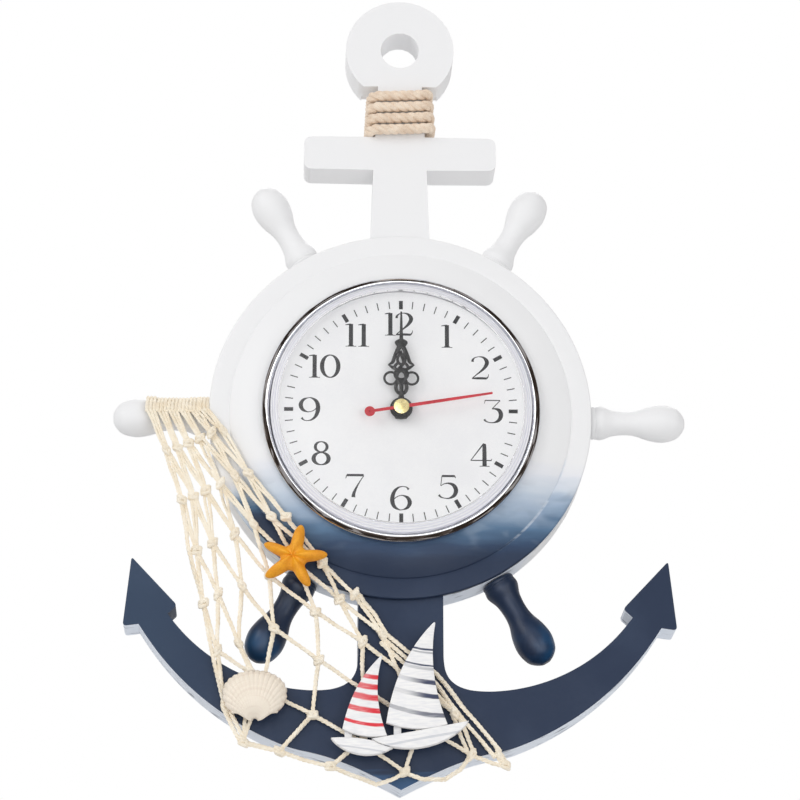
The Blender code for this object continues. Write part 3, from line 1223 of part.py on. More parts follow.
def make_motion_work():
    """The minute arbor with its cannon pinion, the minute wheel, the hour wheel and the setting stem."""
    front = case_levels()[0]
    places, size = train_places(), modules()
    inner = SECONDS_ARBOR_RADIUS + ARBOR_GAP
    arbor_foot = CENTRE_WHEEL_LEVEL - WHEEL_THICKNESS / 2
    outlines = [circle(MINUTE_ARBOR_RADIUS, ARBOR_STEPS), circle(inner, ARBOR_STEPS)]
    arbor_top = MINUTE_HAND_HEIGHT + HAND_THICKNESS
    arbor = flat_piece("minute_arbor", outlines, arbor_top - arbor_foot, arbor_foot, "steel")
    cannon = flat_piece("cannon_pinion", [gear_outline(CANNON_TEETH, size["minute"]),
                                          circle((inner + MINUTE_ARBOR_RADIUS) / 2, ARBOR_STEPS)],
                        PINION_THICKNESS, MINUTE_WHEEL_LEVEL - PINION_THICKNESS / 2, "steel")
    combine(arbor, cannon, "UNION")
    wheel_turn = meshing_turn(MINUTE_WHEEL_TEETH, MOTION_ANGLE, CANNON_TEETH)
    minute = wheel_piece("minute_wheel", MINUTE_WHEEL_LEVEL, MINUTE_WHEEL_TEETH, size["minute"],
                         wheel_turn, places["minute"])
    pivot_front = front + BEARING_DEPTH - BEARING_GAP
    pivot_back = CENTRE_WHEEL_LEVEL + WHEEL_THICKNESS / 2 + ARBOR_GAP
    combine(minute, rod_piece("minute_pivot", PIVOT_RADIUS, pivot_back, pivot_front, "steel",
                              places["minute"]), "UNION")
    combine(minute, pinion_tool("minute_pinion", HOUR_WHEEL_LEVEL, PINION_TEETH, size["hour"], 0.0,
                                places["minute"]), "UNION")
    hour_turn = meshing_turn(HOUR_WHEEL_TEETH, MOTION_ANGLE + math.pi, PINION_TEETH)
    hour = wheel_piece("hour_wheel", HOUR_WHEEL_LEVEL, HOUR_WHEEL_TEETH, size["hour"], hour_turn,
                       (0.0, 0.0), MINUTE_ARBOR_RADIUS + ARBOR_GAP)
    tube = tube_piece("hour_tube", HOUR_TUBE_RADIUS, MINUTE_ARBOR_RADIUS + ARBOR_GAP,
                      HOUR_WHEEL_LEVEL - WHEEL_THICKNESS / 4, HOUR_HAND_HEIGHT + HAND_THICKNESS, "brass")
    combine(hour, tube, "UNION")
    stem_turn = meshing_turn(SETTING_TEETH, MOTION_ANGLE, MINUTE_WHEEL_TEETH, wheel_turn)
    knob_top = CASE_TOP - CASE_DEPTH - COVER_GAP
    grips = []
    for x, y in circle(KNOB_RADIUS, 2 * KNOB_GRIPS):
        pull = 1 if len(grips) % 2 else KNOB_GROOVE_SHARE
        grips.append((x * pull, y * pull))
    knob = flat_piece("setting_knob", [grips], KNOB_HEIGHT, knob_top - KNOB_HEIGHT, "black_plastic",
                      places["setting"])
    combine(knob, rod_piece("setting_stem", KNOB_STEM_RADIUS, knob_top - KNOB_HEIGHT / 2,
                            MINUTE_WHEEL_LEVEL, "steel", places["setting"]), "UNION")
    combine(knob, rod_piece("setting_pivot", PIVOT_RADIUS, MINUTE_WHEEL_LEVEL, pivot_front, "steel",
                            places["setting"]), "UNION")
    combine(knob, pinion_tool("setting_pinion", MINUTE_WHEEL_LEVEL, SETTING_TEETH, size["minute"],
                              stem_turn, places["setting"]), "UNION")


def make_motor():
    """The stator round the rotor, the coil on its core, and the circuit board."""
    places = train_places()
    x, y = places["rotor"]
    stator_back = SECONDS_WHEEL_LEVEL - STATOR_THICKNESS / 2
    foot, head, side = STATOR_FOOT, STATOR_HEAD, STATOR_HALF_WIDTH
    leg = side - STATOR_LEG_WIDTH
    bar = foot + STATOR_BAR_HEIGHT
    outline = [(-side, foot), (side, foot), (side, head), (leg, head), (leg, bar), (-leg, bar),
               (-leg, head), (-side, head)]
    hole = circle(ROTOR_MAGNET_RADIUS + STATOR_HOLE_GAP, 2 * ARBOR_STEPS, (x, y))
    flat_piece("stator", [outline, hole], STATOR_THICKNESS, stator_back, "steel")
    core_back = stator_back + STATOR_THICKNESS + GLUE_GAP
    level = core_back + STATOR_THICKNESS / 2
    height = (bar + head) / 2 + COIL_FLANGE_WIDTH
    wound = COIL_HALF_LENGTH - COIL_FLANGE_WIDTH
    profile = [(0.0, COIL_HALF_LENGTH), (COIL_FLANGE_RADIUS, COIL_HALF_LENGTH), (COIL_FLANGE_RADIUS, wound),
               (COIL_RADIUS, wound), (COIL_RADIUS, -wound), (COIL_FLANGE_RADIUS, -wound),
               (COIL_FLANGE_RADIUS, -COIL_HALF_LENGTH), (0.0, -COIL_HALF_LENGTH)]
    coil = turned("coil", profile, "copper", 2 * ARBOR_STEPS, place=(0.0, height, level))
    coil.rotation_euler = (0.0, math.radians(90), 0.0)
    core = box_piece("coil_core", (2 * COIL_CORE_HALF_LENGTH, COIL_CORE_WIDTH, STATOR_THICKNESS),
                     (0.0, height, level), "steel")
    combine(coil, core, "UNION")
    board = box_piece("circuit_board", (*CIRCUIT_SIZE, CIRCUIT_THICKNESS),
                      (*CIRCUIT_CENTRE, CIRCUIT_LEVEL), "circuit")
    crystal = box_piece("crystal", (2 * CRYSTAL_RADIUS, CRYSTAL_LENGTH, 2 * CRYSTAL_RADIUS),
                        (*CIRCUIT_CENTRE, CIRCUIT_LEVEL + CRYSTAL_RADIUS), "steel")
    combine(board, crystal, "UNION")


def make_battery():
    """The cell in its bay, and the two contacts at the bay's ends."""
    front = case_levels()[0]
    level = front - BATTERY_GAP - BATTERY_RADIUS
    half = BATTERY_LENGTH / 2
    shoulder = half - BATTERY_TIP_LENGTH
    battery = turned("battery", [(0.0, half), (BATTERY_TIP_RADIUS, half), (BATTERY_TIP_RADIUS, shoulder),
                                 (BATTERY_RADIUS, shoulder), (BATTERY_RADIUS, -half), (0.0, -half)],
                     "battery", 2 * ARBOR_STEPS, place=(0.0, battery_centre(), level))
    battery.rotation_euler = (0.0, math.radians(90), 0.0)
    inside = CASE_HALF_WIDTH - CASE_WALL
    for name, side in (("contact_positive", 1), ("contact_negative", -1)):
        bm = bmesh.new()
        bmesh.ops.create_cube(bm, size=1.0)
        bmesh.ops.scale(bm, vec=(CONTACT_THICKNESS, CONTACT_HEIGHT, CONTACT_WIDTH), verts=bm.verts)
        inner = [face for face in bm.faces if face.normal.x * side < -0.5]
        bmesh.ops.inset_region(bm, faces=inner, thickness=CONTACT_WIDTH / 3)
        room = inside - half - CONTACT_THICKNESS - 2 * GLUE_GAP
        bmesh.ops.translate(bm, vec=(-side * room, 0.0, 0.0), verts=inner[0].verts)
        place = (side * (inside - GLUE_GAP - CONTACT_THICKNESS / 2), battery_centre(), level)
        add_piece(name, mesh_from(bm, name), "steel", place)


def build():
    make_board()
    make_moulding()
    make_handles()
    make_rope()
    make_net()
    make_net_head()
    make_starfish()
    make_shell()
    make_boats()
    make_housing()
    make_dial()
    make_lens()
    make_bezel()
    make_hands()
    make_nut()
    make_case()
    make_cover()
    make_train()
    make_motion_work()
    make_motor()
    make_battery()
    bpy.context.view_layer.update()


build()
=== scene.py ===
"""Anchor wall clock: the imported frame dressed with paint, rope, netting, ornaments and a printed dial.

Shapes are worked out in millimetres in the clock's own face frame, which has x to the right, y up from the
clock's axis and z out from the board's front, and are turned into the frame's metres when they are finished.
"""

import math

import bmesh
import bpy
from bpy.props import FloatProperty, FloatVectorProperty, IntProperty, PointerProperty
from mathutils import Euler, Matrix, Vector, noise


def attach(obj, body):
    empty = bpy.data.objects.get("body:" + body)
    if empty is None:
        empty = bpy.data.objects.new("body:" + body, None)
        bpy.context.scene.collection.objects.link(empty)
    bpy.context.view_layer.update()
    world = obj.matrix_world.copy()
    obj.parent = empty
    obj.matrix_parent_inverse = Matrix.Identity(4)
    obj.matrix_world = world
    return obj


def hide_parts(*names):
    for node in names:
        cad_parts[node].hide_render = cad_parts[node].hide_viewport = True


bl_info = {
    "name": "Anchor wall clock",
    "version": (1, 0, 0),
    "blender": (4, 5, 0),
    "location": "3D View > Sidebar > Anchor clock",
    "description": "Builds the painted anchor, its rope, net, ornaments and clock insert over the frame",
    "category": "Object",
}

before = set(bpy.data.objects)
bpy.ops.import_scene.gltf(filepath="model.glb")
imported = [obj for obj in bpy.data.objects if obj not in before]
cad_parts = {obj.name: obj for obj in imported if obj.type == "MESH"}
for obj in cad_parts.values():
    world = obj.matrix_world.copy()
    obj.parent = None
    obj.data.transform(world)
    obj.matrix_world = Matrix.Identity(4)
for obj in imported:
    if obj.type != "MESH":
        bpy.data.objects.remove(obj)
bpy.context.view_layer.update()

MM = 0.001
BOARD_THICKNESS = 15.0
AXIS_DROP = 164.3
WHEEL_RADIUS = 74.5
GLUE_GAP = 0.3

# Corners of the arms that are sanded round: a point of the right half, and the radius
ARM_CORNERS = ((85.0, -77.2, 1.4), (102.8, -58.2, 1.2), (105.5, -85.5, 1.5))
CORNER_REACH = 0.6
OUTLINE_EASE = 6.0
OUTLINE_EASE_SHARE = 0.46
OUTLINE_EASE_ANGLES = (0.05, 0.62)

MOULDING_BORE_RADIUS = 51.0
MOULDING_STEP_RADIUS = 66.3
MOULDING_BAND_HEIGHT = 1.9
MOULDING_CREST_HEIGHT = 6.0
# Beyond the step: how far out and how far down
MOULDING_GROOVE = ((0.2, 0.16), (0.45, 0.16), (0.9, 0.02), (1.1, 0.0))
MOULDING_RIM = 0.7
MOULDING_CREST_SHARES = ((0.0, 1.0), (0.28, 1.0), (0.5, 0.84), (0.72, 0.55), (0.9, 0.24), (1.0, 0.05))

HANDLE_NAMES = ("handle_right", "handle_upper_right", "handle_upper_left",
                "handle_left", "handle_lower_left", "handle_lower_right")
HANDLE_DEPTH = 7.3
HANDLE_LENGTH = 37.2
HANDLE_RADIUS = 7.4
HANDLE_PROFILE_SHARES = ((1.0, 0.26), (0.965, 0.56), (0.9, 0.84), (0.765, 1.0), (0.62, 0.9), (0.485, 0.68),
                         (0.37, 0.62), (0.24, 0.68), (0.15, 0.85), (0.105, 0.9), (0.065, 0.87))
# The collar's groove and foot: how far out from its radius, and the height
HANDLE_COLLAR = ((0.05, 2.2), (-0.1, 2.0), (-0.16, 1.8), (-0.1, 1.6), (0.0, 1.35), (0.0, 0.9), (-0.25, 0.45),
                 (-0.6, GLUE_GAP))
DOWEL_RADIUS = 3.2
DOWEL_LENGTH = 16.0

NECK_TOP_HALF_WIDTH = 8.8
NECK_FOOT_HALF_WIDTH = 10.0
NECK_FOOT = 118.0
NECK_HEIGHT = 22.3
NECK_SEAT_DEPTH = 5.0
ROPE_RADIUS = 2.2
ROPE_TOP = 139.025
ROPE_PITCH = 4.9
ROPE_TURNS = 4
ROPE_POINTS = 24
ROPE_FRONT_DIP = 1.3
ROPE_STRANDS = 3
ROPE_STRAND_SHARE = 0.56
ROPE_STEP = 0.8

NET_REACH = 100.0
NET_DROP = 150.0
NET_PLANE = 1.8
NET_STEP_MARGIN = 2.5
NET_ROW_SHARES = (
    ((-.970, .006), (-.928, .006), (-.886, .006), (-.844, .006), (-.802, .006), (-.764, .006)),
    ((-.905, -.105), (-.862, -.098), (-.820, -.087), (-.776, -.073), (-.732, -.062), (-.688, -.054)),
    ((-.841, -.240), (-.797, -.229), (-.750, -.214), (-.694, -.198), (-.640, -.176), (-.588, -.173)),
    ((-.780, -.374), (-.720, -.353), (-.636, -.329), (-.564, -.305), (-.497, -.289), (-.441, -.291)),
    ((-.750, -.513), (-.695, -.488), (-.605, -.466), (-.501, -.439), (-.392, -.412), (-.300, -.408)),
    ((-.695, -.636), (-.614, -.615), (-.482, -.576), (-.325, -.532), (-.234, -.500), (-.177, -.488)),
    ((-.661, -.779), (-.570, -.690), (-.524, -.736), (-.311, -.658), (-.145, -.610), (-.070, -.590)),
)
# Below the sixth row: the knots at the crown, in millimetres, and the cords between all of them
CROWN_KNOTS = {
    "west": (-59.2, -130.4), "shell": (-33.3, -119.7), "keel": (-14.7, -130.0), "stern": (7.0, -123.0),
    "sheet": (20.1, -118.7), "foot 1": (-45.6, -133.7), "foot 2": (-26.5, -139.4), "foot 3": (1.3, -141.2),
    "foot 4": (26.4, -134.7), "foot 5": (36.9, -134.8), "tassel": (38.9, -138.4),
}
# A start, an end, and by how much a doubled cord's two parts stand off each other
CROWN_CORDS = (
    (0, "west", 1.0), (1, "west", 0.0), (2, "west", 0.0), (2, "shell", 0.0), (3, "shell", 0.0),
    (3, "stern", 0.0), (4, "keel", 0.0), (4, "sheet", 0.0), (5, "stern", 0.0), ("west", "foot 1", 0.6),
    ("shell", "foot 1", 0.0), ("shell", "keel", 0.0), ("keel", "foot 2", 0.0), ("keel", "foot 3", 0.0),
    ("stern", "foot 3", 0.0), ("stern", "foot 4", 0.0), ("sheet", "foot 4", 1.1), ("foot 5", "tassel", 0.7),
)
SELVEDGES = (
    ((-45.6, -133.7), (-36.5, -137.0), (-26.5, -139.4), (-17.5, -143.0), (-9.4, -146.2), (-3.0, -144.2),
     (1.3, -141.2), (8.0, -143.8), (16.1, -144.0), (22.0, -140.2), (26.4, -134.7), (33.0, -137.4),
     (39.8, -139.3)),
    ((-6.6, -87.6), (13.4, -103.7), (26.8, -120.4), (37.2, -133.4)),
    ((-7.2, -89.6), (11.6, -106.0), (24.4, -122.4), (35.2, -135.6)),
    ((-7.8, -91.4), (10.0, -108.2), (19.4, -118.2)),
    ((-16.2, -73.0), (-10.0, -81.0), (-5.6, -88.0)),
    ((-84.1, -36.0), (-81.2, -56.0), (-75.0, -77.0)),
    ((-75.0, -77.0), (-71.6, -96.0), (-66.1, -116.8)),
)
# The upper rows' cords run doubled or in threes, each thinner than a single one
DOUBLED_ROWS = (1, 2)
DOUBLED_SIDES = (-0.78, 0.78)
BUNDLE_SIDES = (-1.43, 0.0, 1.43)
BUNDLE_SHARE = 0.72
BUNDLE_FOOT_SHARE = 0.4
HEAD_SHARE = 0.84
CORD_PLIES = 3
PLY_SHARE = 0.55
CORD_STEP = 1.2
CORD_STIR = 0.5
CORD_STIR_SEED = 5
# A knot's loops: how far each is lifted, tilted and leant, and its share of the knot's size
KNOT_LOOPS = ((0.95, 14, 0, 1.0), (-0.95, -10, 8, 0.95), (0.0, 64, -20, 1.05), (0.1, 30, 60, 0.85))
KNOT_SIZE = 1.55
KNOT_WAIST_SHARE = 0.52
KNOT_CORD_RADIUS = 0.78
KNOT_LEVEL = 1.5
HEAD_GAP = 2.2
HEAD_CLEARANCE = 0.7
HEAD_REACH_SHARE = 0.90
HEAD_NARROWING_SHARE = 0.95
HEAD_ANGLES = (38, 53, 68, 83, 98, 112, 126)

STARFISH_PLACE = (-40.95, -60.30, 8.21)
STARFISH_RADIUS = 13.0
STARFISH_HEIGHT = 4.4
STARFISH_TILT = math.radians(-12)
STARFISH_ARM_ANGLES = tuple(math.radians(angle) for angle in (2, 77, 153, 213, 298))
STARFISH_NOTCH_SHARE = 0.40
STARFISH_BACK_SHARE = 0.30
STARFISH_ARM_POWER = 2.1
STARFISH_MIDDLE_SHARE = 0.76
STARFISH_RIDGE_SHARE = 0.20
STARFISH_LUMP_SHARE = 0.06

SHELL_PLACE = (-54.9, -123.2, 3.6)
SHELL_RADIUS = 18.2
SHELL_HINGE_RADIUS = 2.2
SHELL_SPREAD = math.radians(62)
SHELL_WAIST_SHARE = 0.55
SHELL_TURN = math.radians(-1)
SHELL_DOME = 5.2
SHELL_WALL = 1.2
SHELL_RIBS = 19
SHELL_RIB_HEIGHT = 0.4
SHELL_ROUND_SHARE = 0.98
SHELL_SIDE_DROP_SHARE = 0.60

BOAT_PLACE = (0.0, -127.5)
BOAT_LEVEL = 5.1
BOAT_BACK = 3.6
MAST_THICKNESS = 1.2
MAST_WIDTH = 2.8
SAIL_THICKNESS = 2.0
HULL_THICKNESS = 2.8
HULL_GAP = 0.3
# The left end, the length, the depth, the sheer's share of the depth and the turn
LARGE_HULL = ((-11.2, -2.4), 37.0, 6.7, 0.02, 11)
SMALL_HULL = ((-26.4, -2.2), 23.4, 4.6, -0.3, -8)
# The left end of the foot, the width, the height, how far the tip lies to the right, and the turn
LARGE_SAIL = ((-5.8, 3.8), 22.9, 39.0, 20.2, 2)
SMALL_SAIL = ((-22.2, 1.3), 16.8, 30.0, 12.6, -5)
LARGE_SAIL_SLOPE = 0.135
SMALL_SAIL_SLOPE = 0.03
MASTS = {"small_mast": ((-19.9, -5.0), 9.0), "large_mast": ((-1.5, -3.0), 12.0)}
SAIL_FOOT_SHARE = 0.05
SAIL_LUFF_SHARE = 0.25
SAIL_LEECH_SHARE = 0.20
SAIL_MIDDLE_LEAN_SHARE = 0.28
SAIL_TIP_ROUNDING = 2.2
SAIL_RIM_ROUNDING = 0.2
HULL_RIM_ROUNDING = 0.5
MAST_RIM_ROUNDING = 0.25
HULL_BELLY_POWER = 0.8

INSERT_RADIUS = 50.6
LENS_FOOT = 8.3
LENS_SHOULDER = 10.6
LENS_TOP = 12.8
LENS_FLAT_RADIUS = 47.4
LENS_THICKNESS = 1.4
LENS_JOINT = 0.04
LENS_WALL = 1.2
LENS_RING_PITCH = 0.9
LENS_STEPS = 4
LENS_STEP_HEIGHT = 0.08
LENS_STEP = ((-0.16, 0.08), (0.0, -0.12), (0.16, -0.14))
BEZEL_BORE_RADIUS = 50.95
BEZEL_RADIUS = 54.0
BEZEL_FOOT = 6.3
BEZEL_SIDE = 8.5
BEZEL_CREST = 10.3
DIAL_BACK = 5.1
DIAL_TOP = 5.5
DIAL_RADIUS = 49.0
DIAL_HOLE_RADIUS = 3.7

NUT_RADIUS = 4.2
NUT_BORE = 3.45
NUT_FOOT = 5.6
NUT_TOP = 7.1
NUT_ROUNDING = 0.12
HAND_RIM = 0.1
HAND_BORE_SHARE = 0.35
# A hand's underside, its thickness and its hub's radius
HOUR_HAND = (7.9, 0.4, 4.4)
MINUTE_HAND = (8.9, 0.4, 3.6)
SECOND_HAND = (9.9, 0.2, 2.2)
SECOND_HAND_ANGLE = math.radians(-80.4)

# Pen strokes (x, y, half a stroke's width) on the hands, in millimetres from their pivot
HOUR_STROKES = (
    ((0.0, 3.6, 1.3), (0.0, 5.4, 0.98), (0.0, 6.2, 1.17)),
    ((-1.4, 15.6, 0.59), (-3.2, 16.6, 0.65), (-5.1, 17.8, 0.21)),
    ((1.4, 15.6, 0.59), (3.2, 16.6, 0.65), (5.1, 17.8, 0.21)),
    ((-5.0, 17.8, 0.26), (-3.4, 18.8, 0.65), (-2.6, 21.0, 0.72), (-1.6, 23.6, 0.78), (-0.4, 26.0, 0.91)),
    ((5.0, 17.8, 0.26), (3.4, 18.8, 0.65), (2.6, 21.0, 0.72), (1.6, 23.6, 0.78), (0.4, 26.0, 0.91)),
    ((-1.2, 16.0, 0.52), (0.9, 18.6, 0.65), (0.2, 21.4, 0.59), (-0.4, 23.6, 0.65)),
    ((0.0, 25.4, 1.69), (0.0, 26.6, 2.47), (0.0, 27.6, 2.27), (0.0, 28.4, 1.04)),
)
HOUR_RINGS = ((0.0, 8.5, 2.1, 2.6, 0.72), (-4.1, 12.2, 2.45, 2.5, 0.47), (4.1, 12.2, 2.45, 2.5, 0.47),
              (0.0, 13.9, 2.4, 2.2, 0.65))
MINUTE_STROKES = (
    ((0.0, 2.9, 1.17), (0.0, 6.0, 0.78), (0.0, 9.4, 0.91)),
    ((-1.1, 14.8, 0.45), (-2.6, 16.4, 0.59), (-1.4, 18.2, 0.52)),
    ((1.1, 14.8, 0.45), (2.6, 16.4, 0.59), (1.4, 18.2, 0.52)),
    ((-0.8, 21.6, 0.52), (-1.3, 23.0, 0.65), (0.0, 26.0, 0.98)),
    ((0.8, 21.6, 0.52), (1.3, 23.0, 0.65), (0.0, 26.0, 0.98)),
    ((0.0, 25.2, 0.98), (0.0, 30.0, 0.65), (0.0, 36.0, 0.47), (0.0, 39.5, 0.34)),
)
MINUTE_RINGS = ((0.0, 12.3, 1.7, 2.6, 0.59), (0.0, 19.6, 1.5, 2.0, 0.55))
SECOND_STROKES = (
    ((0.0, 0.0, 0.72), (0.0, 20.0, 0.62), (0.0, 35.8, 0.45)),
    ((0.0, 0.0, 0.66), (0.0, -12.4, 0.6)),
)
SECOND_RINGS = ((0.0, -12.4, 1.02, 1.02, 1.02),)

# Numerals as pen strokes, in shares of their height
NUMERAL_HEIGHT = 9.6
NUMERAL_RING = 35.6
NUMERAL_STROKES = {
    "1": (((.02, .02, .085), (.02, .98, .085)), ((-.21, .94, .014), (-.10, .958, .026), (.02, .975, .026)),
          ((-.20, .014, .014), (.24, .014, .014)), ((-.10, .03, .026), (.14, .03, .026))),
    "2": (((-.30, .76, .055), (-.29, .85, .042), (-.20, .94, .022), (-.03, .982, .018), (.15, .94, .045),
           (.27, .80, .08), (.27, .66, .08), (.16, .48, .058), (-.02, .31, .034), (-.20, .16, .022),
           (-.33, .04, .018)),
          ((-.33, .045, .028), (-.10, .052, .048), (.10, .052, .05), (.27, .045, .04)),
          ((.26, .045, .035), (.33, .14, .018), (.345, .23, .012))),
    "3": (((-.30, .962, .022), (.30, .962, .022)), ((-.30, .97, .018), (-.335, .83, .010)),
          ((.30, .955, .018), (-.03, .60, .018)),
          ((-.03, .60, .018), (.12, .60, .04), (.27, .52, .08), (.33, .33, .088), (.24, .12, .07),
           (.05, .022, .028), (-.14, .02, .02), (-.28, .07, .03), (-.35, .15, .045))),
    "4": (((.12, .98, .03), (-.40, .28, .016)), ((-.42, .26, .022), (.42, .26, .022)),
          ((.40, .26, .02), (.44, .33, .010)), ((.14, .97, .05), (.14, .80, .08), (.14, .02, .085)),
          ((-.06, .014, .014), (.34, .014, .014))),
    "5": (((-.22, .95, .016), (-.27, .54, .016)), ((-.22, .945, .045), (.30, .945, .045)),
          ((.30, .93, .03), (.33, .86, .010)),
          ((-.27, .53, .016), (-.12, .62, .02), (.05, .64, .035), (.24, .56, .072), (.34, .36, .088),
           (.27, .14, .072), (.08, .02, .034), (-.10, .015, .02), (-.26, .06, .03), (-.35, .15, .05))),
    "6": (((.30, .86, .05), (.22, .95, .026), (.06, .985, .018), (-.14, .92, .04), (-.30, .72, .072),
           (-.36, .42, .088), (-.29, .16, .072), (-.10, .02, .03), (.05, .015, .02), (.24, .10, .058),
           (.34, .30, .085), (.27, .50, .068), (.10, .60, .028), (-.05, .60, .018), (-.22, .52, .018),
           (-.33, .38, .02)),),
    "7": (((-.33, .945, .05), (.35, .945, .05)), ((-.33, .93, .025), (-.37, .80, .010)),
          ((.36, .93, .018), (.20, .68, .022), (.06, .42, .04), (-.04, .18, .064), (-.06, .02, .08))),
}
# Closed loops: centre, half width, half height, stroke's half width at the sides
NUMERAL_RINGS = {"0": ((0.0, .50, .33, .48, .088),),
                 "8": ((0.0, .765, .235, .215, .062), (0.0, .27, .30, .255, .085))}
NUMERAL_THIN = 0.024
PRINT_THICKNESS = 0.08
# Outer radius, length and width
MINUTE_BARS = (45.2, 3.1, 0.38)
HOUR_BARS = (45.3, 3.5, 1.5)
# Where a pair's digits stand, in shares of their height
NUMERAL_PAIRS = {"10": (-.31, .34), "11": (-.20, .32), "12": (-.45, .13)}

# The sails' stripes: height, half width and strength as shares, and how much they gain from left to right
RED_STRIPES = ((.69, .026, 1.0, .1), (.562, .034, 1.0, .15), (.425, .036, 1.0, .15), (.263, .030, 1.0, .1),
               (.088, .020, 1.0, .0))
GREY_STRIPES = ((.705, .009, 1.0, .0), (.675, .008, .5, .2), (.55, .008, 1.0, .1), (.52, .014, .4, .4),
                (.393, .021, 1.0, .8), (.26, .021, 1.0, .8), (.085, .020, .85, .4))
HULL_STRIPES = ((.52, .06, .38, .0),)

# The painted fade, in millimetres from the clock's axis. The brush and its waves lower each level of it.
PAINT_WHITE = (241, 241, 242)
PAINT_NAVY = (29, 44, 69)
SEA_BRUSH = 5.0
SEA_WAVE = 8.0
SEA_SHIFT = 4.4
SEA_LEVELS = (-10.0, -65.0)
SEA_STOPS = ((0.20, (232, 234, 240)), (0.36, (208, 217, 228)), (0.50, (160, 179, 201)),
             (0.63, (88, 119, 150)), (0.76, (46, 68, 98)), (0.92, (32, 47, 71)))
SEA_WHITE_LEVELS = (-24.0, -15.0)
SEA_NAVY_LEVELS = (-50.0, -60.0)
SEA_PATCH_LEVELS = ((-24.0, -32.0), (-56.0, -46.0))
# On the left of the wheel's outer band the fade is steeper, under a pale rim that is worn paint and a painted
# highlight on the rounded edge. A dark dab lies on its right.
BAND_EDGES = ((66.0, 66.8), (75.6, 75.0))
BAND_LEFT = (-30.0, -46.0)
BAND_FADE_DROP = 31.0
BAND_FADE_GAIN = 2.0
BAND_WORN_HIGHLIT_RIM = (72.4, 73.6)
BAND_WORN_HIGHLIT_RIM_LIFT = 10.0
DAB_PLACE = (60.5, -37.2)
DAB_SIZE = (8.0, 6.5)
DAB_DARKENING = 3.5
# The moulding's step is paler here: worn paint, and a painted highlight along the step's edge
WORN_AND_HIGHLIT_STEP = ((65.9, 66.3), (67.2, 66.6))
WORN_AND_HIGHLIT_LEVELS = ((-58.0, -44.0), (-14.0, -24.0))
ARM_GLOW = (-50.0, -100.0)
CROWN_GLOW = (-136.0, -141.0)
# Where the lower handles' teal sheen, a painted reflection, begins and is full
HANDLE_PAINTED_SHEEN = (92.0, 108.0)
# The wall of the left arm's barb is navy like its face
BARB_PLACE = (-81.0, -82.2, -7.5)
BARB_RADIUS = 11.0
BARB_FADE = 3.0

# Finishes: colour, darker colour, roughness, slow and fine scale, grain, its depth in millimetres, shader values
FINISHES = {
    "Pale floor": ((236, 236, 236), (230, 230, 230), 0.7, 40.0, 900.0, 0.25, 0.08, {}),
    "Polished chrome": ((232, 233, 236), (216, 218, 222), 0.03, 60.0, 500.0, 0.05, 0.02, 0.03, {"Metallic": 1.0}),
    "Printed card": ((244, 244, 245), (240, 240, 242), 0.5, 60.0, 1200.0, 0.1, 0.03, {}),
    "Black ink": ((26, 26, 30), (38, 38, 42), 0.55, 120.0, 1500.0, 0.1, 0.02, {}),
    "Black hands": ((18, 18, 20), (12, 12, 14), 0.42, 90.0, 1500.0, 0.2, 0.03, {}),
    "Red hand": ((206, 20, 44), (184, 14, 36), 0.35, 90.0, 1500.0, 0.1, 0.03, {}),
    # The centre nut: brass, darkened as painted shade where it sits under the hour hand's hub
    "Blackened brass": ((58, 54, 48), (40, 38, 36), 0.4, 120.0, 900.0, 0.2, 0.04, {"Metallic": 1.0}),
    "Pale brass": ((226, 214, 164), (206, 188, 128), 0.22, 120.0, 900.0, 0.15, 0.03, {"Metallic": 1.0}),
    "Black plastic": ((38, 38, 40), (28, 28, 30), 0.45, 90.0, 1100.0, 0.4, 0.08, {}),
    "White nylon": ((232, 232, 226), (214, 214, 206), 0.4, 150.0, 1300.0, 0.2, 0.04, {"Subsurface_Weight": 0.1}),
    "Black rubber": ((30, 30, 30), (22, 22, 22), 0.8, 120.0, 900.0, 0.5, 0.1, {}),
    "Bright steel": ((196, 198, 202), (160, 162, 168), 0.28, 150.0, 900.0, 0.2, 0.04, {"Metallic": 1.0}),
    "Enamelled copper wire": ((196, 104, 58), (150, 72, 40), 0.35, 300.0, 2500.0, 0.7, 0.2, {"Metallic": 1.0}),
    "Circuit board": ((34, 92, 52), (24, 70, 40), 0.45, 200.0, 1200.0, 0.3, 0.06, {}),
    "Cell sleeve": ((58, 62, 70), (40, 44, 50), 0.3, 80.0, 900.0, 0.1, 0.04, {}),
    "White plastic": ((236, 236, 238), (226, 226, 230), 0.45, 90.0, 1100.0, 0.3, 0.06, {}),
}
# The nodes that keep the frame's own shapes
WORKS = {
    "Pale brass": ("hand_cap", "minute_arbor"), "White plastic": ("insert_housing",),
    "Black rubber": ("insert_gasket",), "Black plastic": ("movement_case", "movement_cover", "setting_knob"),
    "White nylon": ("rotor", "intermediate_wheel", "seconds_wheel", "third_wheel", "centre_wheel",
                    "minute_wheel", "hour_wheel"),
    "Bright steel": ("stator", "contact_positive", "contact_negative"),
    "Enamelled copper wire": ("coil",), "Circuit board": ("circuit_board",), "Cell sleeve": ("battery",),
}

# The stage: a camera that looks at a place of the face frame from a distance, in millimetres and degrees
CAMERA_AIM = (-0.17, 6.26, 0.0)
CAMERA_DISTANCE = 1166.0
CAMERA_LENS = 134.55
CAMERA_PITCH = 19.12
CAMERA_YAW = -2.26
CAMERA_ROLL = -0.10
# Place, width and power, in metres and watts
LIGHTS = {
    "Key light": ((-1.2, -1.0, 0.6), 1.0, 8.0),
    "Fill light": ((0.7, -1.2, -0.55), 1.2, 5.0),
    "Rim light": ((0.2, 0.9, 0.9), 0.9, 4.0),
}
LIGHT_AIM = (0.0, 0.0, -0.16)
FLOOR_SIZE = 3.0
FLOOR_LEVEL = -0.75
WORLD_STRENGTH = 0.68


def face_frame():
    """The matrix from the face frame's millimetres to the frame's metres."""
    turn = Matrix(((1, 0, 0, 0), (0, 0, -1, -BOARD_THICKNESS * MM), (0, 1, 0, -AXIS_DROP * MM), (0, 0, 0, 1)))
    return turn @ Matrix.Scale(MM, 4)


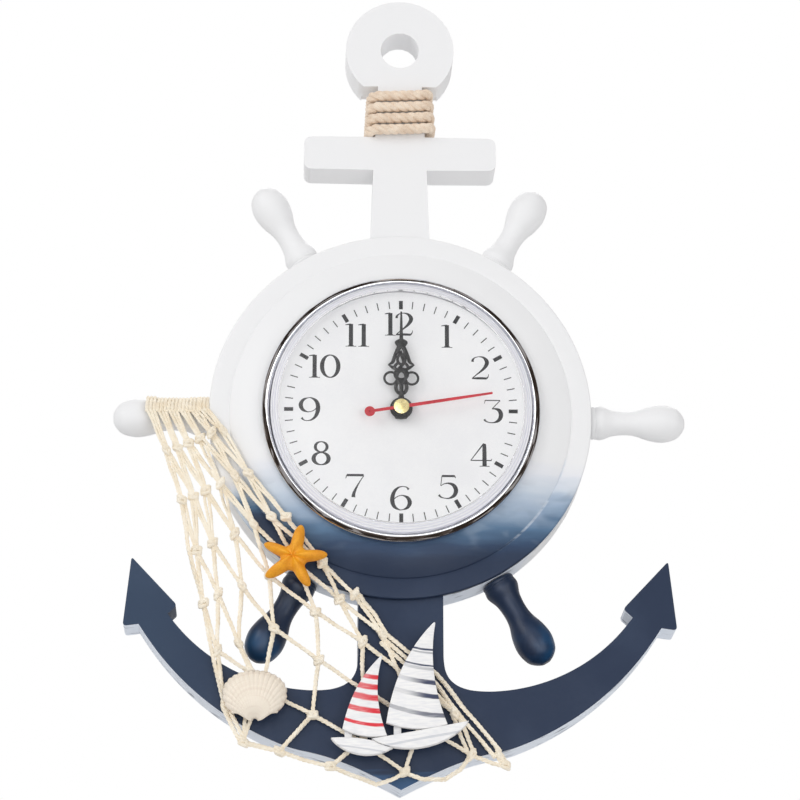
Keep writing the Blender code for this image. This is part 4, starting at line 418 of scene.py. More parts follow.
def srgb(red, green, blue):
    """A colour picked as 0 to 255 screen values, as the linear colour that a shader takes."""
    def linear(value):
        share = value / 255
        return share / 12.92 if share <= 0.04045 else ((share + 0.055) / 1.055) ** 2.4
    return linear(red), linear(green), linear(blue)


def opaque(colour):
    """The colour with an alpha of 1."""
    return (*colour, 1.0)


def smooth_line(points, steps):
    """A Catmull-Rom line through the points, with so many steps from one to the next."""
    line = []
    for number in range(len(points) - 1):
        before = Vector(points[max(number - 1, 0)])
        start, end = Vector(points[number]), Vector(points[number + 1])
        after = Vector(points[min(number + 2, len(points) - 1)])
        for step in range(steps):
            t = step / steps
            line.append(0.5 * ((2 * start) + (end - before) * t
                               + (2 * before - 5 * start + 4 * end - after) * t ** 2
                               + (3 * start - before - 3 * end + after) * t ** 3))
    line.append(Vector(points[-1]))
    return line


def arc(centre, radius, start, end, steps):
    """Points on an arc, from one angle to the other."""
    return [(centre[0] + radius * math.cos(start + (end - start) * step / steps),
             centre[1] + radius * math.sin(start + (end - start) * step / steps))
            for step in range(steps + 1)]


def bend(start, pull, end, steps):
    """Points on a curve from start to end, drawn towards pull."""
    points = []
    for step in range(steps + 1):
        t = step / steps
        points.append(tuple(a * (1 - t) ** 2 + 2 * b * t * (1 - t) + c * t ** 2
                            for a, b, c in zip(start, pull, end)))
    return points


def dress(mesh, material, replaced=(), body="frame", sharp=35):
    """Makes the finished mesh a piece of its body, and hides the solids that it stands for."""
    mesh.materials.clear()
    mesh.materials.append(material)
    mesh.shade_smooth()
    mesh.set_sharp_from_angle(angle=math.radians(sharp))
    piece = bpy.data.objects.new(mesh.name, mesh)
    bpy.context.scene.collection.objects.link(piece)
    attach(piece, body)
    if replaced:
        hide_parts(*replaced)
    return piece


def plain_mesh(bm, name):
    """The bmesh as a mesh, just as it is."""
    mesh = bpy.data.meshes.new(name)
    bm.to_mesh(mesh)
    bm.free()
    return mesh


def mesh_of(bm, name, merge=1e-4):
    """The bmesh, merged and turned outwards, as a mesh in the frame's metres."""
    bmesh.ops.remove_doubles(bm, verts=bm.verts, dist=merge)
    bmesh.ops.recalc_face_normals(bm, faces=bm.faces)
    bmesh.ops.transform(bm, matrix=face_frame(), verts=bm.verts)
    return plain_mesh(bm, name)


def spin_profile(bm, profile, steps, closed=False, matrix=None):
    """Turns a (radius, height) line round the z axis, and moves the result by matrix."""
    verts = [bm.verts.new((radius, 0.0, height)) for radius, height in profile]
    edges = [bm.edges.new(pair) for pair in zip(verts, verts[1:])]
    if closed:
        edges.append(bm.edges.new((verts[-1], verts[0])))
    bmesh.ops.spin(bm, geom=verts + edges, cent=(0, 0, 0), axis=(0, 0, 1), angle=math.tau, steps=steps,
                   use_merge=True)
    if matrix is not None:
        bmesh.ops.transform(bm, matrix=matrix, verts=bm.verts)


def round_off(bm, edges, offset, segments):
    """Rounds edges by an offset."""
    bmesh.ops.bevel(bm, geom=edges, affect="EDGES", offset=offset, segments=segments, profile=0.5, material=-1)


def flat_form(bm, outline, bottom, thickness, rim=0.0):
    """Fills an outline, gives it its thickness, and rounds the front's rim."""
    verts = [bm.verts.new((x, y, bottom)) for x, y in outline]
    face = bm.faces.new(verts)
    grown = bmesh.ops.extrude_face_region(bm, geom=[face])["geom"]
    top = [item for item in grown if isinstance(item, bmesh.types.BMVert)]
    bmesh.ops.translate(bm, vec=(0, 0, thickness), verts=top)
    if rim:
        round_off(bm, [edge for edge in bm.edges if all(vert in top for vert in edge.verts)], rim, 2)


def tubes(lines, radius, resolution=0, closed=False, radii=None):
    """Round tubes along many lines, as one mesh. radii gives each line's own radius at each point."""
    curve = bpy.data.curves.new("tubes", "CURVE")
    curve.dimensions = "3D"
    curve.twist_mode = "Z_UP" if radii else "MINIMUM"
    curve.bevel_depth = radius
    curve.bevel_resolution = resolution
    curve.use_fill_caps = not closed
    for number, line in enumerate(lines):
        spline = curve.splines.new("POLY")
        spline.points.add(len(line) - 1)
        spline.points.foreach_set("co", [value for point in line for value in (*point, 1.0)])
        if radii:
            spline.points.foreach_set("radius", radii[number])
        spline.use_cyclic_u = closed
    holder = bpy.data.objects.new("tubes", curve)
    mesh = bpy.data.meshes.new_from_object(holder)
    bpy.data.objects.remove(holder)
    bpy.data.curves.remove(curve)
    return mesh


def pen_strokes(strokes, rings, thickness, matrix, scale=1.0, thin=None):
    """Flat strokes of varying width, and rings that are thickest at their sides, as one mesh."""
    lines, widths = [], []
    for stroke in strokes:
        line = smooth_line(stroke, 8) if len(stroke) > 2 else [Vector(point) for point in stroke]
        lines.append([(point.x, point.y, 0.0) for point in line])
        widths.append([point.z for point in line])
    loops, loop_widths = [], []
    for x, y, wide, tall, width in rings:
        turns = [math.tau * step / 48 for step in range(48)]
        loops.append([(x + wide * math.cos(turn), y + tall * math.sin(turn), 0.0) for turn in turns])
        least = width if thin is None else thin
        loop_widths.append([least + (width - least) * abs(math.cos(turn)) ** 1.6 for turn in turns])
    made = [tubes(lines, 1.0, 1, radii=widths)] if lines else []
    if loops:
        made.append(tubes(loops, 1.0, 1, closed=True, radii=loop_widths))
    bm = joined(made)
    widest = max(width for line in widths + loop_widths for width in line)
    flat = Matrix.Diagonal((scale, scale, thickness / 2 / widest, 1.0))
    bmesh.ops.transform(bm, matrix=matrix @ flat, verts=bm.verts)
    return bm


def joined(meshes):
    """One bmesh with all the meshes in it."""
    bm = bmesh.new()
    for mesh in meshes:
        bm.from_mesh(mesh)
        bpy.data.meshes.remove(mesh)
    return bm


def even_line(points, spacing):
    """The same line with points about one spacing apart."""
    line = [Vector(points[0])]
    for start, end in zip(points, points[1:]):
        start, end = Vector(start), Vector(end)
        parts = max(round((end - start).length / spacing), 1)
        line += [start.lerp(end, part / parts) for part in range(1, parts + 1)]
    return line


def strands(line, reference, offset, count, lay, phase=0.0):
    """The centre lines of the strands that are laid round a line, one turn every lay."""
    laid = [[] for _ in range(count)]
    travelled = 0.0
    for number, point in enumerate(line):
        along = (line[min(number + 1, len(line) - 1)] - line[max(number - 1, 0)]).normalized()
        side = along.cross(reference).normalized()
        rise = side.cross(along)
        if number:
            travelled += (point - line[number - 1]).length
        for strand, path in enumerate(laid):
            angle = phase + math.tau * (travelled / lay + strand / count)
            path.append(point + (side * math.cos(angle) + rise * math.sin(angle)) * offset)
    return laid


class Nodes:
    """Adds nodes to one tree, with their settings, values and links in one call."""

    def __init__(self, tree):
        self.tree = tree

    def feed(self, node, inputs):
        """Gives a node's inputs their links or their plain values."""
        for key, value in inputs.items():
            if isinstance(value, bpy.types.NodeSocket):
                self.tree.links.new(value, node.inputs[key])
            else:
                node.inputs[key].default_value = value

    def add(self, kind, inputs=None, **settings):
        node = self.tree.nodes.new(kind)
        for name, value in settings.items():
            setattr(node, name, value)
        self.feed(node, inputs or {})
        return node

    def placed(self, tree, inputs):
        return self.add("ShaderNodeGroup", inputs, node_tree=tree).outputs

    def math(self, operation, first, second=0.0):
        return self.add("ShaderNodeMath", {0: first, 1: second}, operation=operation).outputs[0]

    def plus(self, first, *others):
        for other in others:
            first = self.math("ADD", first, other)
        return first

    def minus(self, first, second):
        return self.math("SUBTRACT", first, second)

    def times(self, first, *others):
        for other in others:
            first = self.math("MULTIPLY", first, other)
        return first

    def hypot(self, first, second):
        return self.math("SQRT", self.plus(self.times(first, first), self.times(second, second)))

    def blend(self, factor, first, second, blend_type="MIX"):
        return self.add("ShaderNodeMix", {0: factor, 6: first, 7: second}, data_type="RGBA",
                        blend_type=blend_type).outputs[2]

    def span(self, value, low, high, start=0.0, end=1.0, smooth=True):
        """Goes from start to end as the value goes from low to high."""
        return self.add("ShaderNodeMapRange", {0: value, 1: low, 2: high, 3: start, 4: end},
                        interpolation_type="SMOOTHSTEP" if smooth else "LINEAR").outputs[0]

    def between(self, value, rise, fall):
        """1 between two soft edges, each given as its outer and inner value."""
        return self.times(self.span(value, *rise), self.span(value, *fall))

    def noise(self, vector, scale, detail=3.0, stretch=(1, 1, 1), place=(0, 0, 0)):
        if stretch != (1, 1, 1) or place != (0, 0, 0):
            vector = self.add("ShaderNodeMapping", {0: vector, 1: place, 3: stretch}).outputs[0]
        return self.add("ShaderNodeTexNoise", {"Vector": vector, "Scale": scale, "Detail": detail}).outputs[0]

    def coordinates(self, output="Object"):
        return self.add("ShaderNodeTexCoord").outputs[output]

    def parts(self, vector):
        return self.add("ShaderNodeSeparateXYZ", {0: vector}).outputs

    def from_axis(self, place):
        """How many millimetres a place lies right of the clock's axis, above it and away from it."""
        parts = self.parts(place)
        across = self.times(parts[0], 1 / MM)
        height = self.plus(self.times(parts[2], 1 / MM), AXIS_DROP)
        return across, height, self.hypot(across, height)

    def mottle(self, place, slow, fine):
        return self.placed(mottle_group(), {"Vector": place, "Slow scale": slow, "Fine scale": fine})


def group(name, inputs, outputs, build):
    """A shader node group, built once. An input without a default is a vector, and a tuple is a colour."""
    if name in bpy.data.node_groups:
        return bpy.data.node_groups[name]
    tree = bpy.data.node_groups.new(name, "ShaderNodeTree")
    kinds = {type(None): "NodeSocketVector", float: "NodeSocketFloat", tuple: "NodeSocketColor"}
    for socket, default in inputs.items():
        made = tree.interface.new_socket(name=socket, in_out="INPUT", socket_type=kinds[type(default)])
        if default is not None:
            made.default_value = default
    for socket in outputs:
        kind = "NodeSocketColor" if socket == "Color" else "NodeSocketFloat"
        tree.interface.new_socket(name=socket, in_out="OUTPUT", socket_type=kind)
    nodes = Nodes(tree)
    given = nodes.add("NodeGroupInput").outputs
    nodes.add("NodeGroupOutput", build(nodes, given))
    return tree


def mottle_group():
    """Slow and fine colour variation, and the height of a fine grain."""
    def build(nodes, given):
        slow = nodes.noise(given["Vector"], given["Slow scale"], 2.0)
        fine = nodes.noise(given["Vector"], given["Fine scale"], 4.0)
        both = nodes.plus(nodes.times(slow, 0.6), nodes.times(fine, 0.4))
        return {"Mask": nodes.span(both, 0.35, 0.65), "Height": fine}
    return group("Mottle", {"Vector": None, "Slow scale": 30.0, "Fine scale": 700.0}, ("Mask", "Height"), build)


def new_material(name, shader_values):
    """A material with a Principled shader, its plain values set on the shader's own sockets."""
    material = bpy.data.materials.new(name)
    material.use_nodes = True
    nodes = Nodes(material.node_tree)
    shader = material.node_tree.nodes["Principled BSDF"]
    nodes.feed(shader, shader_values)
    return material, nodes, shader


def surface(nodes, shader, colour, roughness, height, strength, depth):
    """Links a material's colour, roughness and relief to its shader. The depth is in millimetres."""
    relief = nodes.add("ShaderNodeBump", {"Strength": strength, "Distance": depth * MM, "Height": height})
    nodes.feed(shader, {"Base Color": colour, "Roughness": roughness, "Normal": relief.outputs[0]})


def plain_finish(name, colour, darker, roughness, slow=40.0, fine=900.0, grain=0.25, depth=0.08, spread=0.12,
                 **shader_values):
    """A surface with mottled colour, uneven gloss and a fine grain."""
    if name in bpy.data.materials:
        return bpy.data.materials[name]
    material, nodes, shader = new_material(name, {key.replace("_", " "): value
                                                  for key, value in shader_values.items()})
    mottle = nodes.mottle(nodes.coordinates(), slow, fine)
    surface(nodes, shader, nodes.blend(mottle["Mask"], opaque(darker), opaque(colour)),
            nodes.span(mottle["Mask"], 0.0, 1.0, roughness + spread, roughness), mottle["Height"], grain, depth)
    return material


def stock_finish(name):
    """A plain finish with its values from the table."""
    colour, darker, *values, shader_values = FINISHES[name]
    return plain_finish(name, srgb(*colour), srgb(*darker), *values, **shader_values)


def sea_colour_group():
    """The hand-brushed fade from white to navy, as colour, share of navy and brush height."""
    def build(nodes, given):
        place = given["Vector"]
        across, height, reach = nodes.from_axis(place)
        brush = nodes.noise(place, 1.0, 4.0, (40, 40, 330))
        wave = nodes.noise(place, 1.0, 2.5, (34, 34, 75), (0.37, 0.1, 0.71))
        shift = nodes.plus(nodes.times(brush, SEA_BRUSH), nodes.times(wave, SEA_WAVE))
        level = nodes.plus(height, nodes.minus(shift, SEA_SHIFT))
        band = nodes.between(reach, *BAND_EDGES)
        left = nodes.times(band, nodes.span(across, *BAND_LEFT))
        # A pale rim on the band's rounded outer edge: worn paint and a painted highlight
        rim = nodes.span(reach, *BAND_WORN_HIGHLIT_RIM)
        steep = nodes.times(nodes.plus(level, BAND_FADE_DROP), BAND_FADE_GAIN)
        steep = nodes.plus(nodes.times(steep, nodes.minus(1.0, rim)), nodes.times(rim, BAND_WORN_HIGHLIT_RIM_LIFT))
        level = nodes.plus(level, nodes.times(left, steep))
        beside = nodes.times(nodes.minus(across, DAB_PLACE[0]), 1 / DAB_SIZE[0])
        above = nodes.times(nodes.minus(height, DAB_PLACE[1]), 1 / DAB_SIZE[1])
        dab = nodes.times(nodes.span(nodes.hypot(beside, above), 1.15, 0.75), band)
        level = nodes.minus(level, nodes.times(dab, DAB_DARKENING))
        ramp = nodes.add("ShaderNodeValToRGB", {0: nodes.span(level, *SEA_LEVELS, smooth=False)})
        line = ramp.color_ramp
        for number, (at, colour) in enumerate(SEA_STOPS):
            stop = line.elements[number] if number < 2 else line.elements.new(at)
            stop.position = at
            stop.color = opaque(srgb(*colour))
        patch = nodes.noise(place, 1.0, 1.5, (80, 80, 150), (0.1, 0.5, 0.3))
        middle = nodes.between(level, *SEA_PATCH_LEVELS)
        pale = nodes.times(middle, nodes.span(patch, 0.52, 0.68, 0.0, 0.20))
        colour = nodes.blend(pale, ramp.outputs[0], given["Pale blue"])
        dark = nodes.times(middle, nodes.span(patch, 0.46, 0.34, 0.0, 0.14))
        colour = nodes.blend(dark, colour, given["Navy"])
        colour = nodes.blend(nodes.span(level, *SEA_WHITE_LEVELS), colour, given["White"])
        navy = nodes.span(level, *SEA_NAVY_LEVELS)
        colour = nodes.blend(navy, colour, given["Navy"])
        streaks = nodes.noise(place, 1.0, 3.0, (60, 60, 700))
        cloud = nodes.noise(place, 1.0, 3.0, (38, 38, 38), (0.9, 0.2, 0.4))
        soft = nodes.times(navy, nodes.span(cloud, 0.42, 0.72, 0.0, 0.30))
        colour = nodes.blend(soft, colour, opaque(srgb(56, 70, 94)))
        far_left = nodes.times(navy, nodes.span(across, *ARM_GLOW, 0.0, 0.45))
        colour = nodes.blend(far_left, colour, opaque(srgb(58, 78, 102)))
        tip = nodes.span(nodes.plus(height, nodes.times(streaks, 8.0)), *CROWN_GLOW, 0.0, 0.75)
        colour = nodes.blend(tip, colour, opaque(srgb(58, 92, 132)))
        # Worn paint and a painted highlight along the moulding's step
        worn_and_highlit = nodes.times(nodes.between(reach, *WORN_AND_HIGHLIT_STEP), nodes.span(brush, 0.42, 0.58, 0.1, 0.7),
                           nodes.between(height, *WORN_AND_HIGHLIT_LEVELS))
        colour = nodes.blend(worn_and_highlit, colour, opaque(srgb(214, 222, 234)))
        return {"Color": colour, "Navy": navy, "Height": streaks}
    return group("Brushed sea fade",
                 {"Vector": None, "White": opaque(srgb(*PAINT_WHITE)), "Pale blue": opaque(srgb(196, 210, 226)),
                  "Navy": opaque(srgb(*PAINT_NAVY))}, ("Color", "Navy", "Height"), build)


def sea_paint(colours, walls=False):
    """White paint that is brushed to navy lower down, with pale walls on the board. The walls' pale is partly
    their own wiped paint and partly painted light that lifts the down-facing walls out of their shade.
    """
    name = "Painted board" if walls else "Painted turned wood"
    if name in bpy.data.materials:
        return bpy.data.materials[name]
    material, nodes, shader = new_material(name, {"Specular IOR Level": 0.3})
    place = nodes.coordinates()
    fade = nodes.placed(sea_colour_group(), {"Vector": place, "White": opaque(colours.white),
                                             "Navy": opaque(colours.navy)})
    colour = fade["Color"]
    if walls:
        facing = nodes.parts(nodes.add("ShaderNodeNewGeometry").outputs["Normal"])
        marks = nodes.noise(place, 1.0, 3.0, (120, 300, 120))
        barb = nodes.add("ShaderNodeVectorMath", {0: place, 1: face_frame() @ Vector(BARB_PLACE)},
                         operation="DISTANCE").outputs[1]
        wall = nodes.times(nodes.span(nodes.math("ABSOLUTE", facing[1]), 0.66, 0.40),
                           nodes.span(marks, 0.25, 0.45, 0.35, 1.0), nodes.span(facing[2], 0.25, -0.25),
                           nodes.span(barb, BARB_RADIUS * MM, (BARB_RADIUS + BARB_FADE) * MM))
        # Pale blue-white on the walls, most where they face down: partly their own wiped paint, partly painted
        # light against their shade
        pale = nodes.blend(nodes.times(fade["Navy"], 0.85), opaque(colours.white), opaque(srgb(228, 236, 248)))
        colour = nodes.blend(wall, colour, pale)
    mottle = nodes.mottle(place, 25.0, 900.0)
    colour = nodes.blend(nodes.times(mottle["Mask"], 0.10), colour, opaque(srgb(150, 152, 160)), "SOFT_LIGHT")
    height = nodes.plus(nodes.times(fade["Height"], 0.7), nodes.times(mottle["Height"], 0.3))
    surface(nodes, shader, colour, nodes.span(mottle["Mask"], 0.0, 1.0, 0.56, 0.44), height, 0.22, 0.1)
    return material


def navy_gloss(colours):
    """The lower handles' glossy navy, with a teal sheen towards their ends that is a painted reflection."""
    material, nodes, shader = new_material("Glossy navy paint", {"Specular IOR Level": 0.3, "Coat Weight": 0.1,
                                                                "Coat Roughness": 0.25})
    place = nodes.coordinates()
    patch = nodes.noise(place, 1.0, 2.0, (70, 70, 70))
    # Teal patches towards the handles' ends: a painted reflection
    end = nodes.times(nodes.span(nodes.from_axis(place)[2], *HANDLE_PAINTED_SHEEN), nodes.span(patch, 0.35, 0.6))
    colour = nodes.blend(end, opaque(colours.navy), opaque(srgb(32, 72, 110)))
    mottle = nodes.mottle(place, 60.0, 800.0)
    surface(nodes, shader, colour, nodes.span(mottle["Mask"], 0.0, 1.0, 0.46, 0.36), mottle["Height"], 0.12, 0.1)
    return material


def lens_material(name, clearness):
    """Moulded acrylic, hazy where it is ringed. Light for what lies under it passes straight in."""
    material, nodes, shader = new_material(name, {"Transmission Weight": clearness, "IOR": 1.45,
                                                  "Specular IOR Level": 0.35})
    place = nodes.coordinates()
    reach = nodes.from_axis(place)[2]
    edge = nodes.span(reach, LENS_FLAT_RADIUS - 0.2, LENS_FLAT_RADIUS + 0.8)
    rings = nodes.math("SINE", nodes.times(reach, math.tau / LENS_RING_PITCH))
    haze = nodes.times(edge, nodes.span(rings, -1.0, 1.0, 0.30, 0.50))
    smear = nodes.times(nodes.noise(place, 40.0, 3.0), 0.03)
    tint = nodes.blend(nodes.times(edge, nodes.span(rings, -1.0, 1.0)), (1, 1, 1, 1), opaque(srgb(230, 230, 240)))
    path = nodes.add("ShaderNodeLightPath").outputs
    through = nodes.math("MAXIMUM", path["Is Shadow Ray"], path["Is Diffuse Ray"])
    nodes.feed(shader, {"Roughness": nodes.plus(haze, smear), "Base Color": tint,
                        "Alpha": nodes.minus(1.0, through)})
    return material


def stripe_group():
    """One brushed stripe across a piece, from its UV map, as a mask."""
    def build(nodes, given):
        place = given["Vector"]
        along, up = nodes.parts(place)[:2]
        sway = nodes.noise(place, 1.0, 2.0, (2.2, 5.0, 1.0))
        bow = nodes.math("POWER", nodes.math("ABSOLUTE", nodes.minus(along, 0.5)), 2.0)
        level = nodes.plus(up, nodes.times(along, given["Slope"]), nodes.times(nodes.minus(sway, 0.5), 0.02))
        level = nodes.minus(level, nodes.times(bow, 0.12))
        off = nodes.math("ABSOLUTE", nodes.minus(level, given["Height"]))
        share = nodes.math("DIVIDE", off, given["Half width"])
        bristle = nodes.noise(place, 1.0, 3.0, (4.0, 90.0, 1.0))
        mask = nodes.span(nodes.plus(share, nodes.times(bristle, 0.6)), 1.65, 1.1)
        gain = nodes.plus(nodes.minus(1.0, given["Gain"]),
                          nodes.times(given["Gain"], nodes.span(along, 0.3, 0.7)))
        dry = nodes.noise(place, 1.0, 3.0, (3.0, 60.0, 1.0), (0.3, 0.6, 0.0))
        return {"Mask": nodes.times(mask, gain, given["Strength"], nodes.span(dry, 0.28, 0.5, 0.75, 1.0))}
    return group("Brushed stripe", {"Vector": None, "Height": 0.5, "Half width": 0.03, "Strength": 1.0,
                                    "Gain": 0.3, "Slope": 0.06}, ("Mask",), build)


def boat_paint(name, stripes, colour, slope):
    """Whitewashed wood with a fine grain and brushed stripes."""
    material, nodes, shader = new_material(name, {})
    place, flat = nodes.coordinates(), nodes.coordinates("UV")
    grain = nodes.noise(place, 1.0, 4.0, (260, 260, 1500))
    wash = nodes.noise(place, 150.0, 3.0)
    base = nodes.blend(nodes.span(grain, 0.35, 0.7), opaque(srgb(248, 247, 246)), opaque(srgb(236, 236, 238)))
    base = nodes.blend(nodes.span(wash, 0.5, 0.75, 0.0, 0.3), base, opaque(srgb(222, 223, 228)))
    for height, half, strength, gain in stripes:
        level = height + slope * (0.5 + SAIL_MIDDLE_LEAN_SHARE * height)
        mask = nodes.placed(stripe_group(), {"Vector": flat, "Height": level, "Half width": half,
                                             "Strength": strength, "Gain": gain, "Slope": slope})["Mask"]
        base = nodes.blend(mask, base, opaque(colour))
    surface(nodes, shader, base, nodes.span(wash, 0.3, 0.7, 0.6, 0.48), grain, 0.35, 0.12)
    return material


def shell_material(colours):
    """Cream ribs with pink-tan valleys and growth bands, from the fan's own UV map. The valleys' tint is partly
    the shell's own and partly painted shade in the grooves.
    """
    material, nodes, shader = new_material("Scallop", {"Coat Weight": 0.08, "Coat Roughness": 0.3})
    place, fan = nodes.coordinates(), nodes.coordinates("UV")
    across, out = nodes.parts(fan)[:2]
    wave = nodes.math("COSINE", nodes.times(across, math.tau * SHELL_RIBS))
    tint = nodes.noise(place, 90.0, 3.0)
    valley_tint_and_shade = nodes.times(nodes.span(wave, -0.1, -1.0), nodes.span(out, 0.05, 0.2, 0.35, 1.0),
                         nodes.span(tint, 0.3, 0.6, 0.6, 1.0))
    growth = nodes.noise(fan, 1.0, 3.0, (0.8, 14.0, 1.0))
    colour = nodes.blend(nodes.span(growth, 0.45, 0.7, 0.0, 0.4), opaque(colours.shell),
                         opaque(srgb(226, 208, 190)))
    # The valleys darken: partly the shell's own tint, partly painted shade in the grooves
    colour = nodes.blend(valley_tint_and_shade, colour, opaque(srgb(206, 162, 142)))
    grit = nodes.noise(place, 1500.0, 3.0)
    surface(nodes, shader, colour, nodes.span(tint, 0.3, 0.7, 0.55, 0.42),
            nodes.plus(nodes.times(growth, 0.7), nodes.times(grit, 0.3)), 0.5, 0.3)
    return material


def between_points(line, x, outside):
    """The height at x of a line of (x, height) points, or the value for outside where the line has none."""
    for (start, low), (end, high) in zip(line, line[1:]):
        if start <= x <= end:
            return low + (high - low) * (x - start) / (end - start)
    return outside


def moulding_crest():
    """The radii and heights of the moulding's inner ring."""
    reach = MOULDING_STEP_RADIUS - MOULDING_BORE_RADIUS
    rise = MOULDING_CREST_HEIGHT - MOULDING_BAND_HEIGHT
    return [(MOULDING_BORE_RADIUS + out * reach, MOULDING_BAND_HEIGHT + up * rise)
            for out, up in MOULDING_CREST_SHARES]


def net_height(x, y, radius):
    """The height of a cord's centre where it lies on the moulding or the board."""
    reach = max(math.hypot(x, y) - NET_STEP_MARGIN, MOULDING_BORE_RADIUS)
    under = between_points(moulding_crest(), reach, MOULDING_BAND_HEIGHT if reach <= WHEEL_RADIUS else 0.0)
    return max(NET_PLANE, under + GLUE_GAP + radius)


def rope_line():
    """The whipping's centre line, which climbs one pitch a turn and widens with the neck."""
    offset = ROPE_RADIUS + GLUE_GAP
    back = NECK_SEAT_DEPTH - BOARD_THICKNESS
    line = []
    for step in range(ROPE_TURNS * ROPE_POINTS + 1):
        height = ROPE_TOP - ROPE_PITCH * step / ROPE_POINTS
        share = min((height - NECK_FOOT) / NECK_HEIGHT, 1.0)
        half_width = NECK_FOOT_HALF_WIDTH + (NECK_TOP_HALF_WIDTH - NECK_FOOT_HALF_WIDTH) * share
        half = [(0.0, back - offset), (half_width / 2, back - offset)]
        half += arc((half_width, back), offset, math.radians(-90), 0.0, 3)
        half.append((half_width + offset, back / 2))
        half += arc((half_width, 0.0), offset, 0.0, math.radians(90), 3)
        half.append((half_width / 2, offset))
        loop = half + [(0.0, offset)] + [(-x, z) for x, z in reversed(half[1:])]
        x, z = loop[step % ROPE_POINTS]
        dip = ROPE_FRONT_DIP * (1 - math.cos(math.tau * step / ROPE_POINTS)) / 2
        line.append(Vector((x, height - dip, z)))
    return line


def handle_seat(number):
    """The matrix that stands a handle on the wheel's rim."""
    angle = math.tau * number / len(HANDLE_NAMES)
    outwards = Vector((math.cos(angle), math.sin(angle), 0.0))
    seat = outwards * WHEEL_RADIUS - Vector((0.0, 0.0, HANDLE_DEPTH))
    return Matrix.Translation(seat) @ outwards.to_track_quat("Z", "Y").to_matrix().to_4x4()


def handle_radius(distance):
    """The handle's radius at a distance from the wheel's rim."""
    points = [(HANDLE_LENGTH * along, HANDLE_RADIUS * wide) for along, wide in reversed(HANDLE_PROFILE_SHARES)]
    return between_points(points, distance, points[0][1])


def size_setting(name, description, default, least, most):
    """A size that a user can change, given here in millimetres."""
    return FloatProperty(name=name, description=description, default=default * MM, min=least * MM,
                         max=most * MM, unit="LENGTH")


def colour_setting(name, description, screen_colour):
    """A colour that a user can change."""
    return FloatVectorProperty(name=name, description=description, default=srgb(*screen_colour),
                               subtype="COLOR", size=3, min=0, max=1)


class ClockSizes(bpy.types.PropertyGroup):
    """The sizes of the pieces that are dressed over the frame."""

    edge_round: size_setting("Board edge", "How far the painted board's edges are rounded", 1.1, 0.1, 2.0)
    rope_diameter: size_setting("Rope diameter", "The rope round the neck, over its strands", 4.4, 3.0, 4.6)
    rope_lay: size_setting("Rope lay", "The length in which a strand goes once round", 9.5, 6.0, 30.0)
    cord_diameter: size_setting("Net cord", "The net's cord, over its plies", 1.95, 1.0, 2.4)
    cord_lay: size_setting("Cord lay", "The length in which a ply goes once round", 6.0, 2.0, 20.0)
    turned_steps: IntProperty(name="Turned steps", description="Facets round a turned piece",
                              default=160, min=32, max=512)


class ClockColours(bpy.types.PropertyGroup):
    """The paints and finishes that a user would change."""

    white: colour_setting("White paint", "The paint of the clock's upper half", PAINT_WHITE)
    navy: colour_setting("Navy paint", "The paint of the arms and the lower handles", PAINT_NAVY)
    rope: colour_setting("Rope", "The rope round the neck", (247, 230, 210))
    cotton: colour_setting("Net", "The net's cotton cord", (255, 247, 231))
    starfish: colour_setting("Starfish", "The starfish", (247, 172, 28))
    shell: colour_setting("Shell", "The scallop shell's ribs", (246, 235, 219))
    red: colour_setting("Red stripes", "The small sail's stripes", (222, 44, 58))
    grey: colour_setting("Grey stripes", "The large sail's stripes", (52, 60, 88))


class Maker:
    """What every operator shares: its sizes and colours."""

    bl_options = {"REGISTER", "UNDO"}

    @property
    def sizes(self):
        return bpy.context.scene.clock_sizes

    @property
    def colours(self):
        return bpy.context.scene.clock_colours


